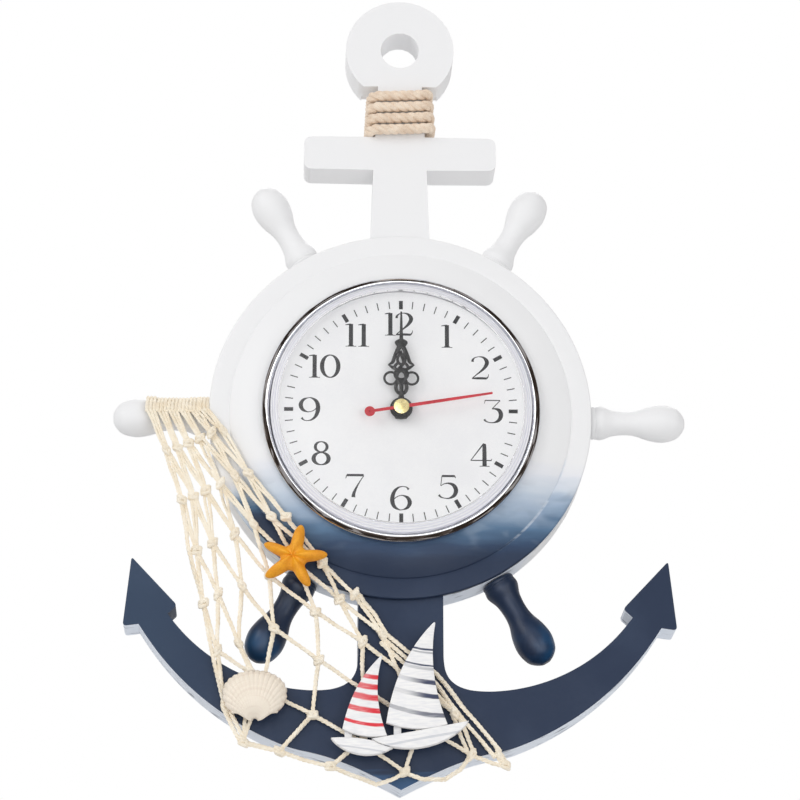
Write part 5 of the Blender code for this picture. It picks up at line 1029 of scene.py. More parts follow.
class ANCHOR_CLOCK_OT_stage(Maker, bpy.types.Operator):
    """Makes the camera, the soft lights and the pale floor"""

    bl_idname = "anchor_clock.stage"
    bl_label = "Stage"

    def aim_camera(self, scene):
        """Puts the camera where the photograph was taken from."""
        camera = bpy.data.objects.new("Camera", bpy.data.cameras.new("Camera"))
        scene.collection.objects.link(camera)
        scene.camera = camera
        camera.data.sensor_width = 36.0
        camera.data.lens = CAMERA_LENS
        pitch, yaw, roll = (math.radians(angle) for angle in (CAMERA_PITCH, CAMERA_YAW, CAMERA_ROLL))
        ahead = Vector((-math.sin(yaw) * math.cos(pitch), math.cos(yaw) * math.cos(pitch), math.sin(pitch)))
        camera.location = face_frame() @ Vector(CAMERA_AIM) - ahead * CAMERA_DISTANCE * MM
        right = Vector((math.cos(yaw), math.sin(yaw), 0.0))
        up = right.cross(ahead)
        turned = (right * math.cos(roll) + up * math.sin(roll), up * math.cos(roll) - right * math.sin(roll))
        camera.rotation_euler = Matrix((*turned, -ahead)).transposed().to_euler()

    def hang_lights(self, scene):
        """Hangs the soft round lights."""
        for name, (place, size, power) in LIGHTS.items():
            lamp = bpy.data.lights.new(name, "AREA")
            lamp.shape = "DISK"
            lamp.size = size
            lamp.energy = power
            light = bpy.data.objects.new(name, lamp)
            scene.collection.objects.link(light)
            light.location = place
            light.rotation_euler = (Vector(LIGHT_AIM) - light.location).to_track_quat("-Z", "Y").to_euler()

    def lay_floor(self, scene):
        """Lays the floor, which the shiny surfaces don't show."""
        bm = bmesh.new()
        bmesh.ops.create_grid(bm, x_segments=1, y_segments=1, size=FLOOR_SIZE,
                              matrix=Matrix.Translation((0.0, 0.0, FLOOR_LEVEL)))
        floor = bpy.data.objects.new("Floor", plain_mesh(bm, "Floor"))
        floor.data.materials.append(stock_finish("Pale floor"))
        scene.collection.objects.link(floor)
        floor.visible_glossy = False

    def mirrored_room(self, nodes):
        """What shiny surfaces show: a bright front, a broken dark line, dark patches and a veil of light."""
        way = nodes.coordinates("Generated")
        parts = nodes.parts(way)
        front = nodes.times(parts[1], -1.0)
        bright = nodes.between(front, (0.91, 0.86), (0.64, 0.70))
        gaps = nodes.span(nodes.noise(way, 5.5, 1.0), 0.50, 0.55, 1.0, 0.25)
        line = nodes.times(nodes.between(front, (0.66, 0.58), (-0.30, -0.22)), gaps)
        dark = nodes.times(nodes.span(nodes.noise(way, 3.1, 1.0), 0.49, 0.43), nodes.span(front, 0.80, 0.66))
        shade = nodes.math("MAXIMUM", nodes.times(line, 0.93), nodes.times(dark, 0.82))
        room = nodes.plus(0.5, nodes.times(bright, 0.8), nodes.span(front, -0.24, -0.32, 0.0, 0.5))
        side = nodes.plus(parts[0], nodes.times(parts[2], 0.5))
        veil = nodes.times(nodes.span(side, 0.21, 0.05), nodes.span(front, 0.84, 0.92), 2.6)
        strength = nodes.plus(nodes.times(room, nodes.minus(1.0, shade)), veil)
        return nodes.add("ShaderNodeBackground",
                         {0: nodes.blend(shade, (1, 1, 1, 1), (1.0, 0.70, 0.54, 1)), 1: strength})

    def execute(self, context):
        scene = context.scene
        self.aim_camera(scene)
        self.hang_lights(scene)
        self.lay_floor(scene)
        scene.world = bpy.data.worlds.new("Studio")
        scene.world.use_nodes = True
        nodes = Nodes(scene.world.node_tree)
        seen = nodes.add("ShaderNodeBackground", {0: (1, 1, 1, 1), 1: 1.0})
        light = nodes.add("ShaderNodeBackground", {0: (1, 1, 1, 1), 1: WORLD_STRENGTH})
        path = nodes.add("ShaderNodeLightPath").outputs
        lit = nodes.add("ShaderNodeMixShader", {0: path["Is Glossy Ray"], 1: light.outputs[0],
                                                2: self.mirrored_room(nodes).outputs[0]})
        mixed = nodes.add("ShaderNodeMixShader", {0: path["Is Camera Ray"], 1: lit.outputs[0],
                                                  2: seen.outputs[0]})
        output = next(node for node in nodes.tree.nodes if node.type == "OUTPUT_WORLD")
        nodes.feed(output, {0: mixed.outputs[0]})
        scene.view_settings.view_transform = "Standard"
        return {"FINISHED"}


class ANCHOR_CLOCK_OT_board(Maker, bpy.types.Operator):
    """Rounds the anchor board's edges and paints it"""

    bl_idname = "anchor_clock.board"
    bl_label = "Anchor board"

    def ease_outline(self, bm):
        """Weights the upright edges between an arc's facets, for the bevel that makes the arc smooth."""
        weight = bm.edges.layers.float.new("bevel_weight_edge")
        for edge in bm.edges:
            start, end = (vert.co for vert in edge.verts)
            upright = (start.xz - end.xz).length < 0.01 * MM and start.z < -(AXIS_DROP + WHEEL_RADIUS / 2) * MM
            least, most = OUTLINE_EASE_ANGLES
            if not upright or len(edge.link_faces) != 2 or not least < edge.calc_face_angle(0.0) < most:
                continue
            spans = [min((loop.vert.co - loop.link_loop_next.vert.co).length for loop in face.loops
                         if (loop.vert.co.xz - loop.link_loop_next.vert.co.xz).length > 0.01 * MM)
                     for face in edge.link_faces]
            edge[weight] = min(OUTLINE_EASE_SHARE * min(spans) / (OUTLINE_EASE * MM), 1.0)

    def execute(self, context):
        bm = bmesh.new()
        bm.from_mesh(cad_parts["anchor_board"].data)
        bmesh.ops.remove_doubles(bm, verts=bm.verts, dist=1e-6)
        bmesh.ops.dissolve_limit(bm, angle_limit=math.radians(1), verts=bm.verts, edges=bm.edges)
        for x, y, radius in ARM_CORNERS:
            for side in (-1, 1):
                corner = Vector((side * x * MM, (y - AXIS_DROP) * MM))
                edges = [edge for edge in bm.edges
                         if all((vert.co.xz - corner).length < CORNER_REACH * MM for vert in edge.verts)
                         and edge.calc_length() > BOARD_THICKNESS * MM / 3]
                round_off(bm, edges, radius * MM, 6)
        self.ease_outline(bm)
        board = dress(plain_mesh(bm, "board_painted"), sea_paint(self.colours, walls=True),
                      ("anchor_board",), sharp=40)
        easing = board.modifiers.new("Eased outline", "BEVEL")
        easing.width = OUTLINE_EASE * MM
        easing.segments = 4
        easing.limit_method = "WEIGHT"
        easing.use_clamp_overlap = False
        rounding = board.modifiers.new("Rounded edges", "BEVEL")
        rounding.width = self.sizes.edge_round
        rounding.segments = 3
        rounding.limit_method = "ANGLE"
        rounding.angle_limit = math.radians(50)
        rounding.harden_normals = True
        return {"FINISHED"}


class ANCHOR_CLOCK_OT_moulding(Maker, bpy.types.Operator):
    """Turns the wheel's moulding, with its smooth crest and fine step"""

    bl_idname = "anchor_clock.moulding"
    bl_label = "Wheel moulding"

    def execute(self, context):
        bore, crest, band = MOULDING_BORE_RADIUS, MOULDING_CREST_HEIGHT, MOULDING_BAND_HEIGHT
        profile = [(bore, GLUE_GAP), (bore, crest - 0.4), (bore + 0.15, crest - 0.1)]
        profile += [tuple(point) for point in smooth_line(moulding_crest()[1:], 5)]
        profile += [(MOULDING_STEP_RADIUS + out, band - down) for out, down in MOULDING_GROOVE]
        profile += arc((WHEEL_RADIUS - MOULDING_RIM, band - MOULDING_RIM), MOULDING_RIM, math.radians(90), 0.0, 4)
        profile += [(WHEEL_RADIUS, GLUE_GAP)]
        bm = bmesh.new()
        spin_profile(bm, profile, self.sizes.turned_steps, closed=True)
        dress(mesh_of(bm, "moulding_turned", merge=1e-3), sea_paint(self.colours),
              ("wheel_moulding",))
        return {"FINISHED"}


class ANCHOR_CLOCK_OT_handles(Maker, bpy.types.Operator):
    """Turns the six handles"""

    bl_idname = "anchor_clock.handles"
    bl_label = "Wheel handles"

    def execute(self, context):
        shape = [(HANDLE_RADIUS * wide, HANDLE_LENGTH * along) for along, wide in HANDLE_PROFILE_SHARES]
        collar = shape[-1][0]
        profile = [(0.0, HANDLE_LENGTH)]
        profile += [tuple(point) for point in smooth_line(shape, 4)]
        profile += [(collar + out, height) for out, height in HANDLE_COLLAR]
        profile += [(DOWEL_RADIUS, GLUE_GAP), (DOWEL_RADIUS, -DOWEL_LENGTH), (0.0, -DOWEL_LENGTH)]
        navy, white = navy_gloss(self.colours), sea_paint(self.colours)
        for number, name in enumerate(HANDLE_NAMES):
            bm = bmesh.new()
            spin_profile(bm, profile, 48, matrix=handle_seat(number))
            material, slot = (navy, "paint_navy") if "lower" in name else (white, "paint_white")
            dress(mesh_of(bm, name + "_turned", merge=1e-3), material, (name,))
        return {"FINISHED"}


class ANCHOR_CLOCK_OT_rope(Maker, bpy.types.Operator):
    """Lays the rope's three strands and winds it round the neck"""

    bl_idname = "anchor_clock.rope"
    bl_label = "Rope whipping"

    def execute(self, context):
        radius = self.sizes.rope_diameter / MM / 2
        strand = radius * ROPE_STRAND_SHARE
        line = even_line([tuple(point) for point in rope_line()], ROPE_STEP)
        laid = strands(line, Vector((0, 1, 0)), radius - strand, ROPE_STRANDS, -self.sizes.rope_lay / MM)
        material = plain_finish("Twisted rope", self.colours.rope, srgb(230, 207, 184), 0.85, 300.0, 2500.0, 0.6,
                                0.3, Sheen_Weight=0.2)
        dress(mesh_of(joined([tubes(laid, strand, 2)]), "rope_turns"), material, ("rope_whipping",),
              sharp=80)
        return {"FINISHED"}


class ANCHOR_CLOCK_OT_net(Maker, bpy.types.Operator):
    """Ties the net in diamonds from the handle down to the crown"""

    bl_idname = "anchor_clock.net"
    bl_label = "Fishing net"

    def cords(self, rows):
        """The centre lines between the knots and each cord's share of the full width, less in a bundle."""
        lines = []
        columns = len(rows[0])
        for level, (upper, lower) in enumerate(zip(rows, rows[1:])):
            if level == 0:
                sides = BUNDLE_SIDES
            else:
                sides = DOUBLED_SIDES if level in DOUBLED_ROWS else (0.0,)
            share = BUNDLE_SHARE if len(sides) > 1 else 1.0
            for column in range(columns):
                beside = column + (1 if level % 2 else -1)
                feet = [lower[column]] + ([lower[beside]] if level and 0 <= beside < columns else [])
                for foot in feet:
                    for side in sides:
                        shift = Vector((side, 0))
                        lines.append(([Vector(upper[column]) + shift,
                                       Vector(foot) + shift * BUNDLE_FOOT_SHARE], share))
        knots = dict(enumerate(rows[-1]), **CROWN_KNOTS)
        for start, end, apart in CROWN_CORDS:
            for side in (-apart, apart) if apart else (0.0,):
                shift = Vector((side, 0))
                lines.append(([Vector(knots[start]) + shift, Vector(knots[end]) + shift], 1.0))
        return lines + [([Vector(point) for point in line], 1.0) for line in SELVEDGES]

    def slack(self, line, number, radius):
        """A cord's flat line laid over the clock, with a little slack in it."""
        flat = even_line([(*point, 0.0) for point in line], CORD_STEP)
        laid = []
        for step, point in enumerate(flat):
            ease = math.sin(math.pi * step / max(len(flat) - 1, 1))
            stir = noise.noise_vector(Vector((point.x / 9, point.y / 9, number * 1.7))) * CORD_STIR * ease
            x, y = point.x + stir.x, point.y + stir.y
            laid.append(Vector((x, y, net_height(x, y, radius))))
        return laid

    def plies(self, line, across, share, radius, phase=0.0):
        """The plies of a cord of a share of the full width."""
        ply = radius * PLY_SHARE
        return strands(line, Vector(across), share * (radius - ply), CORD_PLIES,
                       share * self.sizes.cord_lay / MM, phase)

    def knot(self, x, y, number):
        """The loops of one knot."""
        centre = Vector((x, y, net_height(x, y, KNOT_LEVEL)))
        flip = 1 if number % 2 else -1
        loops = []
        for lift, tilt, lean, share in KNOT_LOOPS:
            turn = Euler((math.radians(90 + tilt * flip), math.radians(lean),
                          math.radians(23 * (number % 5) - 46))).to_matrix()
            loop = []
            for step in range(14):
                angle = math.tau * step / 14
                reach = Vector((share * math.cos(angle), KNOT_WAIST_SHARE * math.sin(angle), 0)) * KNOT_SIZE
                loop.append(centre + Vector((0, lift, 0)) + turn @ reach)
            loops.append(loop)
        return loops

    def head(self, places, radius):
        """The plies of the cords over the handle, and of the cord that ties them behind it."""
        laid, behind = [], []
        for number, (x, y) in enumerate(places):
            reach = radius + max(handle_radius(-WHEEL_RADIUS - x) + HEAD_CLEARANCE,
                                 HANDLE_RADIUS * HEAD_REACH_SHARE)
            for side in BUNDLE_SIDES:
                line = [(x + side, y - 1.0, NET_PLANE), (x + side, y + HEAD_GAP, NET_PLANE + 0.1)]
                for angle in (math.radians(degrees) for degrees in HEAD_ANGLES):
                    line.append((x + side * HEAD_NARROWING_SHARE, reach * math.sin(angle),
                                 reach * math.cos(angle) - HANDLE_DEPTH))
                laid += self.plies(even_line(line, 1.0), (1, 0, 0), HEAD_SHARE, radius, number)
                behind.append(line[-1])
        return laid + self.plies(even_line(behind, 1.0), (0, 0, 1), 1.0, radius)

    def execute(self, context):
        noise.seed_set(CORD_STIR_SEED)
        radius = self.sizes.cord_diameter / MM / 2
        ply = radius * PLY_SHARE
        rows = [[(NET_REACH * x, NET_DROP * y) for x, y in row] for row in NET_ROW_SHARES]
        laid = {1.0: [], BUNDLE_SHARE: []}
        for number, (line, share) in enumerate(self.cords(rows)):
            laid[share] += self.plies(self.slack(line, number, radius), (0, 0, 1), share, radius, number)
        meshes = [tubes(lines, share * ply, 0) for share, lines in laid.items()]
        places = [place for row in rows[1:] for place in row] + list(CROWN_KNOTS.values())
        loops = [loop for number, place in enumerate(places) for loop in self.knot(*place, number)]
        meshes.append(tubes(loops, KNOT_CORD_RADIUS, 1, closed=True))
        material = plain_finish("Cotton cord", self.colours.cotton, srgb(246, 233, 210), 0.85, 220.0, 3000.0, 0.5,
                                0.2, Sheen_Weight=0.25)
        head = [tubes(self.head(rows[0], radius), HEAD_SHARE * ply, 0)]
        for tied, name, node in ((meshes, "net_tied", "net"), (head, "net_head_tied", "net_head")):
            dress(mesh_of(joined(tied), name), material, (node,), sharp=80)
        return {"FINISHED"}


def starfish_arm(angle):
    """How far along its arm's swelling a direction lies: 1 on an arm's line and 0 half way to the next."""
    arms = sorted(STARFISH_ARM_ANGLES)
    arms = [arms[-1] - math.tau] + arms + [arms[0] + math.tau]
    angle %= math.tau
    for start, end in zip(arms, arms[1:]):
        if start <= angle <= end:
            return (1 + math.cos(math.tau * (angle - start) / (end - start))) / 2
    return 1.0


class ANCHOR_CLOCK_OT_starfish(Maker, bpy.types.Operator):
    """Shapes the starfish, with a ridge along each arm"""

    bl_idname = "anchor_clock.starfish"
    bl_label = "Starfish"

    def execute(self, context):
        bm = bmesh.new()
        bmesh.ops.create_uvsphere(bm, u_segments=160, v_segments=56, radius=1.0)
        for vert in bm.verts:
            x, y, rise = vert.co
            arm = starfish_arm(math.atan2(y, x))
            reach = STARFISH_NOTCH_SHARE + (1 - STARFISH_NOTCH_SHARE) * arm ** STARFISH_ARM_POWER
            flat = Vector((x, y, 0.0)) * reach * STARFISH_RADIUS
            if rise > 0:
                lumps = noise.noise(flat * 1.1) * STARFISH_LUMP_SHARE * math.hypot(x, y)
                rise *= STARFISH_MIDDLE_SHARE + STARFISH_RIDGE_SHARE * arm ** 2 + lumps
            vert.co = (flat.x, flat.y, max(rise, -STARFISH_BACK_SHARE) * STARFISH_HEIGHT)
        place = Matrix.Translation(STARFISH_PLACE) @ Matrix.Rotation(STARFISH_TILT, 4, "Y")
        bmesh.ops.transform(bm, matrix=place, verts=bm.verts)
        material = plain_finish("Orange resin", self.colours.starfish, srgb(230, 148, 24), 0.5, 200.0, 1600.0,
                                0.35, 0.2)
        dress(mesh_of(bm, "starfish_ridged", merge=1e-3), material, ("starfish",), sharp=70)
        return {"FINISHED"}


class ANCHOR_CLOCK_OT_shell(Maker, bpy.types.Operator):
    """Fans and domes the scallop shell, with its ribs"""

    bl_idname = "anchor_clock.shell"
    bl_label = "Scallop shell"

    def execute(self, context):
        bm = bmesh.new()
        bmesh.ops.create_grid(bm, x_segments=12 * SHELL_RIBS, y_segments=30, size=0.5, calc_uvs=True)
        uv = bm.loops.layers.uv.new("Fan")
        for face in bm.faces:
            for loop in face.loops:
                loop[uv].uv = loop.vert.co.xy + Vector((0.5, 0.5))
        for vert in bm.verts:
            side, out = 2 * vert.co.x, vert.co.y + 0.5
            angle = side * SHELL_SPREAD + SHELL_TURN
            rib = math.cos(math.pi * SHELL_RIBS * (side + 1))
            scallop = SHELL_RIB_HEIGHT * rib * math.sqrt(max(out, 0.0))
            rim = SHELL_RADIUS * (1 - SHELL_WAIST_SHARE * side ** 4) + scallop
            radius = SHELL_HINGE_RADIUS + (rim - SHELL_HINGE_RADIUS) * out
            roundness = math.sqrt(1 - SHELL_ROUND_SHARE * (2 * out - 1) ** 2)
            dome = SHELL_DOME * roundness * (1 - SHELL_SIDE_DROP_SHARE * side * side)
            vert.co = (radius * math.sin(angle), radius * math.cos(angle), dome + scallop)
        bmesh.ops.translate(bm, vec=SHELL_PLACE, verts=bm.verts)
        shell = dress(mesh_of(bm, "shell_ribbed", merge=1e-3), shell_material(self.colours),
                      ("scallop_shell",), sharp=60)
        wall = shell.modifiers.new("Wall", "SOLIDIFY")
        wall.thickness = SHELL_WALL * MM
        wall.offset = -1.0
        return {"FINISHED"}


def sail_outline(width, height, lean):
    """A sail from its foot's left end: up the luff, down the leech and back along the foot."""
    tip = (lean, height)
    foot_end = (width, -width * SAIL_FOOT_SHARE)
    luff = (lean / 2 - width * SAIL_LUFF_SHARE, height * (1 + SAIL_LUFF_SHARE) / 2)
    leech = (lean - width * SAIL_LEECH_SHARE, height / 2)
    outline = bend((0.0, 0.0), luff, tip, 24)[:-1] + bend(tip, leech, foot_end, 24)[:-1]
    return outline + bend(foot_end, (width / 2, -width * 4 * SAIL_FOOT_SHARE), (0.0, 0.0), 12)[:-1]


def hull_lines(length, depth, sheer):
    """A hull's deck and its belly, both from left to right."""
    shares = [step / 32 for step in range(33)]
    deck = [(length * at, -depth * sheer * 4 * at * (1 - at)) for at in shares]
    belly = [(length * at, -depth * (4 * at * (1 - at)) ** HULL_BELLY_POWER) for at in shares[1:-1]]
    return deck, belly


class ANCHOR_CLOCK_OT_boats(Maker, bpy.types.Operator):
    """Cuts the two sailing boats and paints their sails"""

    bl_idname = "anchor_clock.boats"
    bl_label = "Sailing boats"

    def finish(self, bm, name, at, turn, width, height, material):
        """Maps a piece by its own place along its width and height, and puts it in its boat."""
        uv = bm.loops.layers.uv.new("Boat")
        for face in bm.faces:
            for loop in face.loops:
                loop[uv].uv = (loop.vert.co.x / width, loop.vert.co.y / height)
        place = Matrix.Translation((BOAT_PLACE[0] + at[0], BOAT_PLACE[1] + at[1], 0))
        bmesh.ops.transform(bm, matrix=place @ Matrix.Rotation(math.radians(turn), 4, "Z"), verts=bm.verts)
        dress(mesh_of(bm, name + "_painted", merge=1e-3), material, (name,))

    def beside_large_hull(self, outline, end, turn):
        """The small hull's outline, kept a gap below the large hull's belly."""
        large_end, length, depth, sheer, large_turn = LARGE_HULL
        about = Matrix.Rotation(math.radians(-turn), 2)
        belly = [about @ (Matrix.Rotation(math.radians(large_turn), 2) @ Vector(point)
                          + Vector(large_end) - Vector(end))
                 for point in hull_lines(length, depth, sheer)[1]]
        return [(x, min(y, between_points(belly, x, math.inf) - HULL_GAP)) for x, y in outline]

    def execute(self, context):
        red = boat_paint("Small sail's paint", RED_STRIPES, self.colours.red, SMALL_SAIL_SLOPE)
        grey = boat_paint("Large sail's paint", GREY_STRIPES, self.colours.grey, LARGE_SAIL_SLOPE)
        white = boat_paint("Hull's paint", HULL_STRIPES, srgb(150, 156, 172), 0.0)
        for name, (foot, width, height, lean, turn), material in (("small_sail", SMALL_SAIL, red),
                                                                  ("large_sail", LARGE_SAIL, grey)):
            bm = bmesh.new()
            flat_form(bm, sail_outline(width, height, lean), BOAT_LEVEL, SAIL_THICKNESS)
            tip = Vector((lean, height))
            head = [edge for edge in bm.edges if all((vert.co.xy - tip).length < 0.01 for vert in edge.verts)]
            round_off(bm, head, SAIL_TIP_ROUNDING, 5)
            middle = BOAT_LEVEL + SAIL_THICKNESS / 2
            rim = [edge for edge in bm.edges if all(vert.co.z > middle for vert in edge.verts)]
            round_off(bm, rim, SAIL_RIM_ROUNDING, 2)
            self.finish(bm, name, foot, turn, width, height, material)
        for name, (end, length, depth, sheer, turn) in (("large_hull", LARGE_HULL), ("small_hull", SMALL_HULL)):
            bm = bmesh.new()
            deck, belly = hull_lines(length, depth, sheer)
            outline = deck + belly[::-1]
            if name == "small_hull":
                outline = self.beside_large_hull(outline, end, turn)
            flat_form(bm, outline, BOAT_LEVEL, HULL_THICKNESS, HULL_RIM_ROUNDING)
            self.finish(bm, name, end, turn, length, -depth, white)
        for name, (foot, height) in MASTS.items():
            bm = bmesh.new()
            half = MAST_WIDTH / 2
            flat_form(bm, ((-half, 0), (half, 0), (half, height), (-half, height)), BOAT_BACK, MAST_THICKNESS,
                      MAST_RIM_ROUNDING)
            self.finish(bm, name, foot, 0, -MAST_WIDTH, -height, white)
        return {"FINISHED"}


class ANCHOR_CLOCK_OT_insert(Maker, bpy.types.Operator):
    """Turns the bezel, the lens and the dial"""

    bl_idname = "anchor_clock.insert"
    bl_label = "Clock insert"

    def turned(self, name, profile, material, slot, node, closed=True):
        """Makes a piece of the insert by turning its profile."""
        bm = bmesh.new()
        spin_profile(bm, profile, self.sizes.turned_steps, closed=closed)
        return dress(mesh_of(bm, name, merge=1e-3), material, (node,))

    def bezel_profile(self):
        """The bezel's round crest over its straight foot."""
        bore, crest = BEZEL_BORE_RADIUS, BEZEL_CREST
        crown = [(bore, BEZEL_SIDE), (bore + 0.3, crest - 0.5), (bore + 0.8, crest), (bore + 1.3, crest - 0.1),
                 (BEZEL_RADIUS - 0.4, crest - 1.1), (BEZEL_RADIUS, BEZEL_SIDE)]
        foot = [(BEZEL_RADIUS, BEZEL_FOOT), (bore, BEZEL_FOOT)]
        return [tuple(point) for point in smooth_line(crown, 5)] + foot

    def rim_profile(self):
        """The lens's bevelled edge, with its fine steps."""
        joint, inside = LENS_FLAT_RADIUS + LENS_JOINT / 2, INSERT_RADIUS - LENS_WALL
        top = LENS_TOP - LENS_STEP_HEIGHT
        profile = [(joint, top)]
        for number in range(1, LENS_STEPS + 1):
            share = number / (LENS_STEPS + 1)
            radius = LENS_FLAT_RADIUS + (INSERT_RADIUS - LENS_FLAT_RADIUS) * share
            height = top + (LENS_SHOULDER - top) * share
            profile += [(radius + out, height + up) for out, up in LENS_STEP]
        return profile + [(INSERT_RADIUS, LENS_SHOULDER), (INSERT_RADIUS, LENS_FOOT), (inside, LENS_FOOT),
                          (inside, LENS_SHOULDER - LENS_WALL / 2), (joint, LENS_TOP - LENS_THICKNESS)]

    def execute(self, context):
        self.turned("bezel_polished", self.bezel_profile(), stock_finish("Polished chrome"), "chrome", "bezel")
        under = LENS_TOP - LENS_THICKNESS
        joint = LENS_FLAT_RADIUS - LENS_JOINT / 2
        self.turned("lens_clear", [(0.0, LENS_TOP), (joint, LENS_TOP), (joint, under), (0.0, under)],
                    lens_material("Clear acrylic", 1.0), "lens", "lens", closed=False)
        self.turned("lens_rim", self.rim_profile(), lens_material("Frosted acrylic", 0.6), "lens", "lens")
        card = [(radius, height) for radius, height in ((DIAL_HOLE_RADIUS, DIAL_TOP), (DIAL_RADIUS, DIAL_TOP),
                                                        (DIAL_RADIUS, DIAL_BACK), (DIAL_HOLE_RADIUS, DIAL_BACK))]
        self.turned("dial_card", card, stock_finish("Printed card"), "dial", "dial")
        return {"FINISHED"}


def strike(bm, radius, length, width, count, thickness=PRINT_THICKNESS):
    """Prints short bars evenly round the dial."""
    place = Matrix.Translation((0.0, radius - length / 2, DIAL_TOP))
    made = bmesh.ops.create_cube(bm, size=1.0, matrix=place @ Matrix.Diagonal((width, length, thickness, 1.0)))
    faces = list({face for vert in made["verts"] for face in vert.link_faces})
    bmesh.ops.spin(bm, geom=faces, cent=(0, 0, 0), axis=(0, 0, 1), angle=math.tau * (count - 1) / count,
                   steps=count - 1, use_duplicate=True)


class ANCHOR_CLOCK_OT_print(Maker, bpy.types.Operator):
    """Prints the minute track and the numerals on the dial"""

    bl_idname = "anchor_clock.print"
    bl_label = "Dial print"

    def execute(self, context):
        bm = bmesh.new()
        strike(bm, *MINUTE_BARS, 60)
        strike(bm, *HOUR_BARS, 12, 2 * PRINT_THICKNESS)
        meshes = []
        for hour in range(1, 13):
            turn = math.tau * hour / 12
            centre = (NUMERAL_RING * math.sin(turn), NUMERAL_RING * math.cos(turn))
            digits = str(hour)
            for digit, across in zip(digits, NUMERAL_PAIRS.get(digits, (0.0,))):
                # A nine is a six, turned
                shape, about = ("6", math.pi) if digit == "9" else (digit, 0.0)
                place = Matrix.Translation((centre[0] + across * NUMERAL_HEIGHT, centre[1], DIAL_TOP))
                place @= Matrix.Rotation(about, 4, "Z") @ Matrix.Translation((0.0, -NUMERAL_HEIGHT / 2, 0.0))
                form = pen_strokes(NUMERAL_STROKES.get(shape, ()), NUMERAL_RINGS.get(shape, ()), PRINT_THICKNESS,
                                   place, NUMERAL_HEIGHT, NUMERAL_THIN)
                meshes.append(plain_mesh(form, "digit"))
        meshes.append(plain_mesh(bm, "track"))
        dress(mesh_of(joined(meshes), "dial_print", merge=1e-5), stock_finish("Black ink"))
        return {"FINISHED"}


class ANCHOR_CLOCK_OT_hands(Maker, bpy.types.Operator):
    """Presses the filigree hands and the second hand"""

    bl_idname = "anchor_clock.hands"
    bl_label = "Hands"

    def press(self, node, body, finish, slot, seat, strokes, rings, turn=0.0):
        """Makes a hand from its pen strokes and a round hub."""
        level, thickness, hub = seat
        top = level + thickness
        about = Matrix.Rotation(turn, 4, "Z")
        blade = pen_strokes(strokes, rings, thickness,
                            about @ Matrix.Translation((0.0, 0.0, level + thickness / 2)))
        round_hub = bmesh.new()
        bore = hub * HAND_BORE_SHARE
        spin_profile(round_hub, [(bore, level), (hub - HAND_RIM, level), (hub, level + HAND_RIM),
                                 (hub, top - HAND_RIM), (hub - HAND_RIM, top), (bore, top)], 64, closed=True)
        both = joined([plain_mesh(blade, "blade"), plain_mesh(round_hub, "hub")])
        dress(mesh_of(both, node + "_pressed", merge=1e-5), stock_finish(finish), (node,), body)

    def execute(self, context):
        nut = bmesh.new()
        spin_profile(nut, ((NUT_BORE, NUT_FOOT), (NUT_BORE, NUT_TOP), (NUT_RADIUS, NUT_TOP),
                           (NUT_RADIUS, NUT_FOOT)), 6, closed=True)
        round_off(nut, nut.edges[:], NUT_ROUNDING, 1)
        # The nut's brass is darkened as painted shade, for the dark gap under the hub
        dress(mesh_of(nut, "nut_turned"), stock_finish("Blackened brass"), ("centre_nut",))
        self.press("hour_hand", "hours", "Black hands", "hand_black", HOUR_HAND, HOUR_STROKES, HOUR_RINGS)
        self.press("minute_hand", "minutes", "Black hands", "hand_black", MINUTE_HAND, MINUTE_STROKES,
                   MINUTE_RINGS)
        self.press("second_hand", "seconds", "Red hand", "hand_red", SECOND_HAND, SECOND_STROKES, SECOND_RINGS,
                   SECOND_HAND_ANGLE)
        return {"FINISHED"}


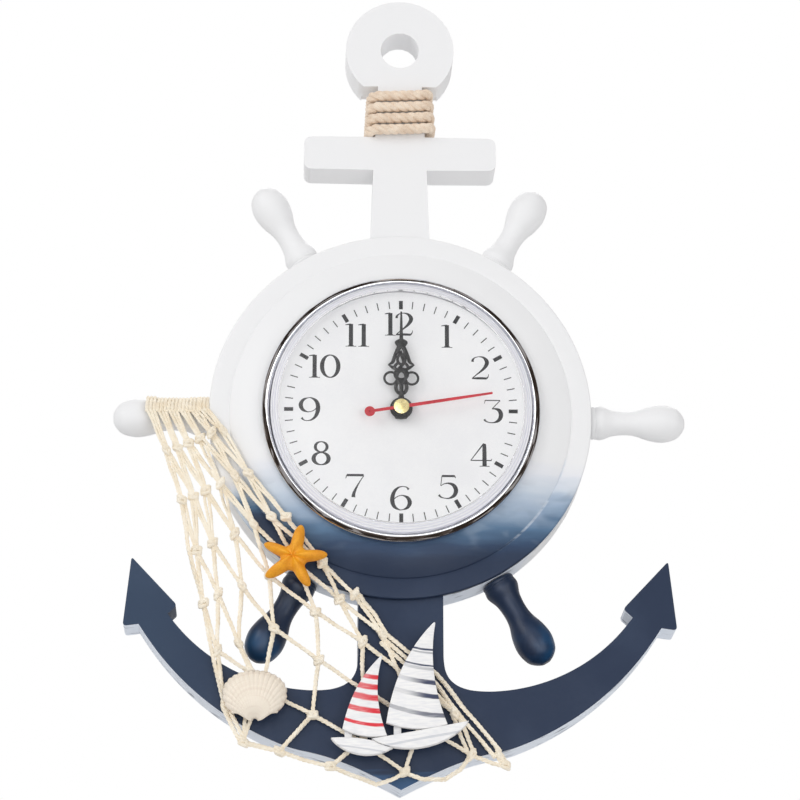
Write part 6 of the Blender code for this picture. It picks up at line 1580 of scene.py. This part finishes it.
class ANCHOR_CLOCK_OT_works(Maker, bpy.types.Operator):
    """Finishes the hand cap and the movement, which keep the frame's own shapes"""

    bl_idname = "anchor_clock.works"
    bl_label = "Movement"

    def execute(self, context):
        for finish, nodes in WORKS.items():
            material = stock_finish(finish)
            for node in nodes:
                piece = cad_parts[node]
                for slot in piece.material_slots:
                    slot.material = material
                if not piece.material_slots:
                    piece.data.materials.append(material)
        return {"FINISHED"}


class ANCHOR_CLOCK_PT_pieces(bpy.types.Panel):
    """Lists the clock's pieces, sizes and colours"""

    bl_idname = "ANCHOR_CLOCK_PT_pieces"
    bl_label = "Anchor clock"
    bl_space_type = "VIEW_3D"
    bl_region_type = "UI"
    bl_category = "Anchor clock"

    def draw(self, context):
        for maker in MAKERS:
            self.layout.operator(maker.bl_idname)
        for settings in (context.scene.clock_sizes, context.scene.clock_colours):
            for name in settings.__annotations__:
                self.layout.prop(settings, name)


MAKERS = (ANCHOR_CLOCK_OT_stage, ANCHOR_CLOCK_OT_board, ANCHOR_CLOCK_OT_moulding, ANCHOR_CLOCK_OT_handles,
          ANCHOR_CLOCK_OT_rope, ANCHOR_CLOCK_OT_net, ANCHOR_CLOCK_OT_starfish, ANCHOR_CLOCK_OT_shell,
          ANCHOR_CLOCK_OT_boats, ANCHOR_CLOCK_OT_insert, ANCHOR_CLOCK_OT_print, ANCHOR_CLOCK_OT_hands,
          ANCHOR_CLOCK_OT_works)
CLASSES = (ClockSizes, ClockColours) + MAKERS + (ANCHOR_CLOCK_PT_pieces,)


def register():
    for item in CLASSES:
        bpy.utils.register_class(item)
    bpy.types.Scene.clock_sizes = PointerProperty(type=ClockSizes)
    bpy.types.Scene.clock_colours = PointerProperty(type=ClockColours)


def unregister():
    del bpy.types.Scene.clock_colours
    del bpy.types.Scene.clock_sizes
    for item in reversed(CLASSES):
        bpy.utils.unregister_class(item)


def main():
    register()
    bpy.ops.anchor_clock.stage()
    bpy.ops.anchor_clock.board()
    bpy.ops.anchor_clock.moulding()
    bpy.ops.anchor_clock.handles()
    bpy.ops.anchor_clock.rope()
    bpy.ops.anchor_clock.net()
    bpy.ops.anchor_clock.starfish()
    bpy.ops.anchor_clock.shell()
    bpy.ops.anchor_clock.boats()
    bpy.ops.anchor_clock.insert()
    bpy.ops.anchor_clock.print()
    bpy.ops.anchor_clock.hands()
    bpy.ops.anchor_clock.works()


if __name__ == "__main__":
    main()
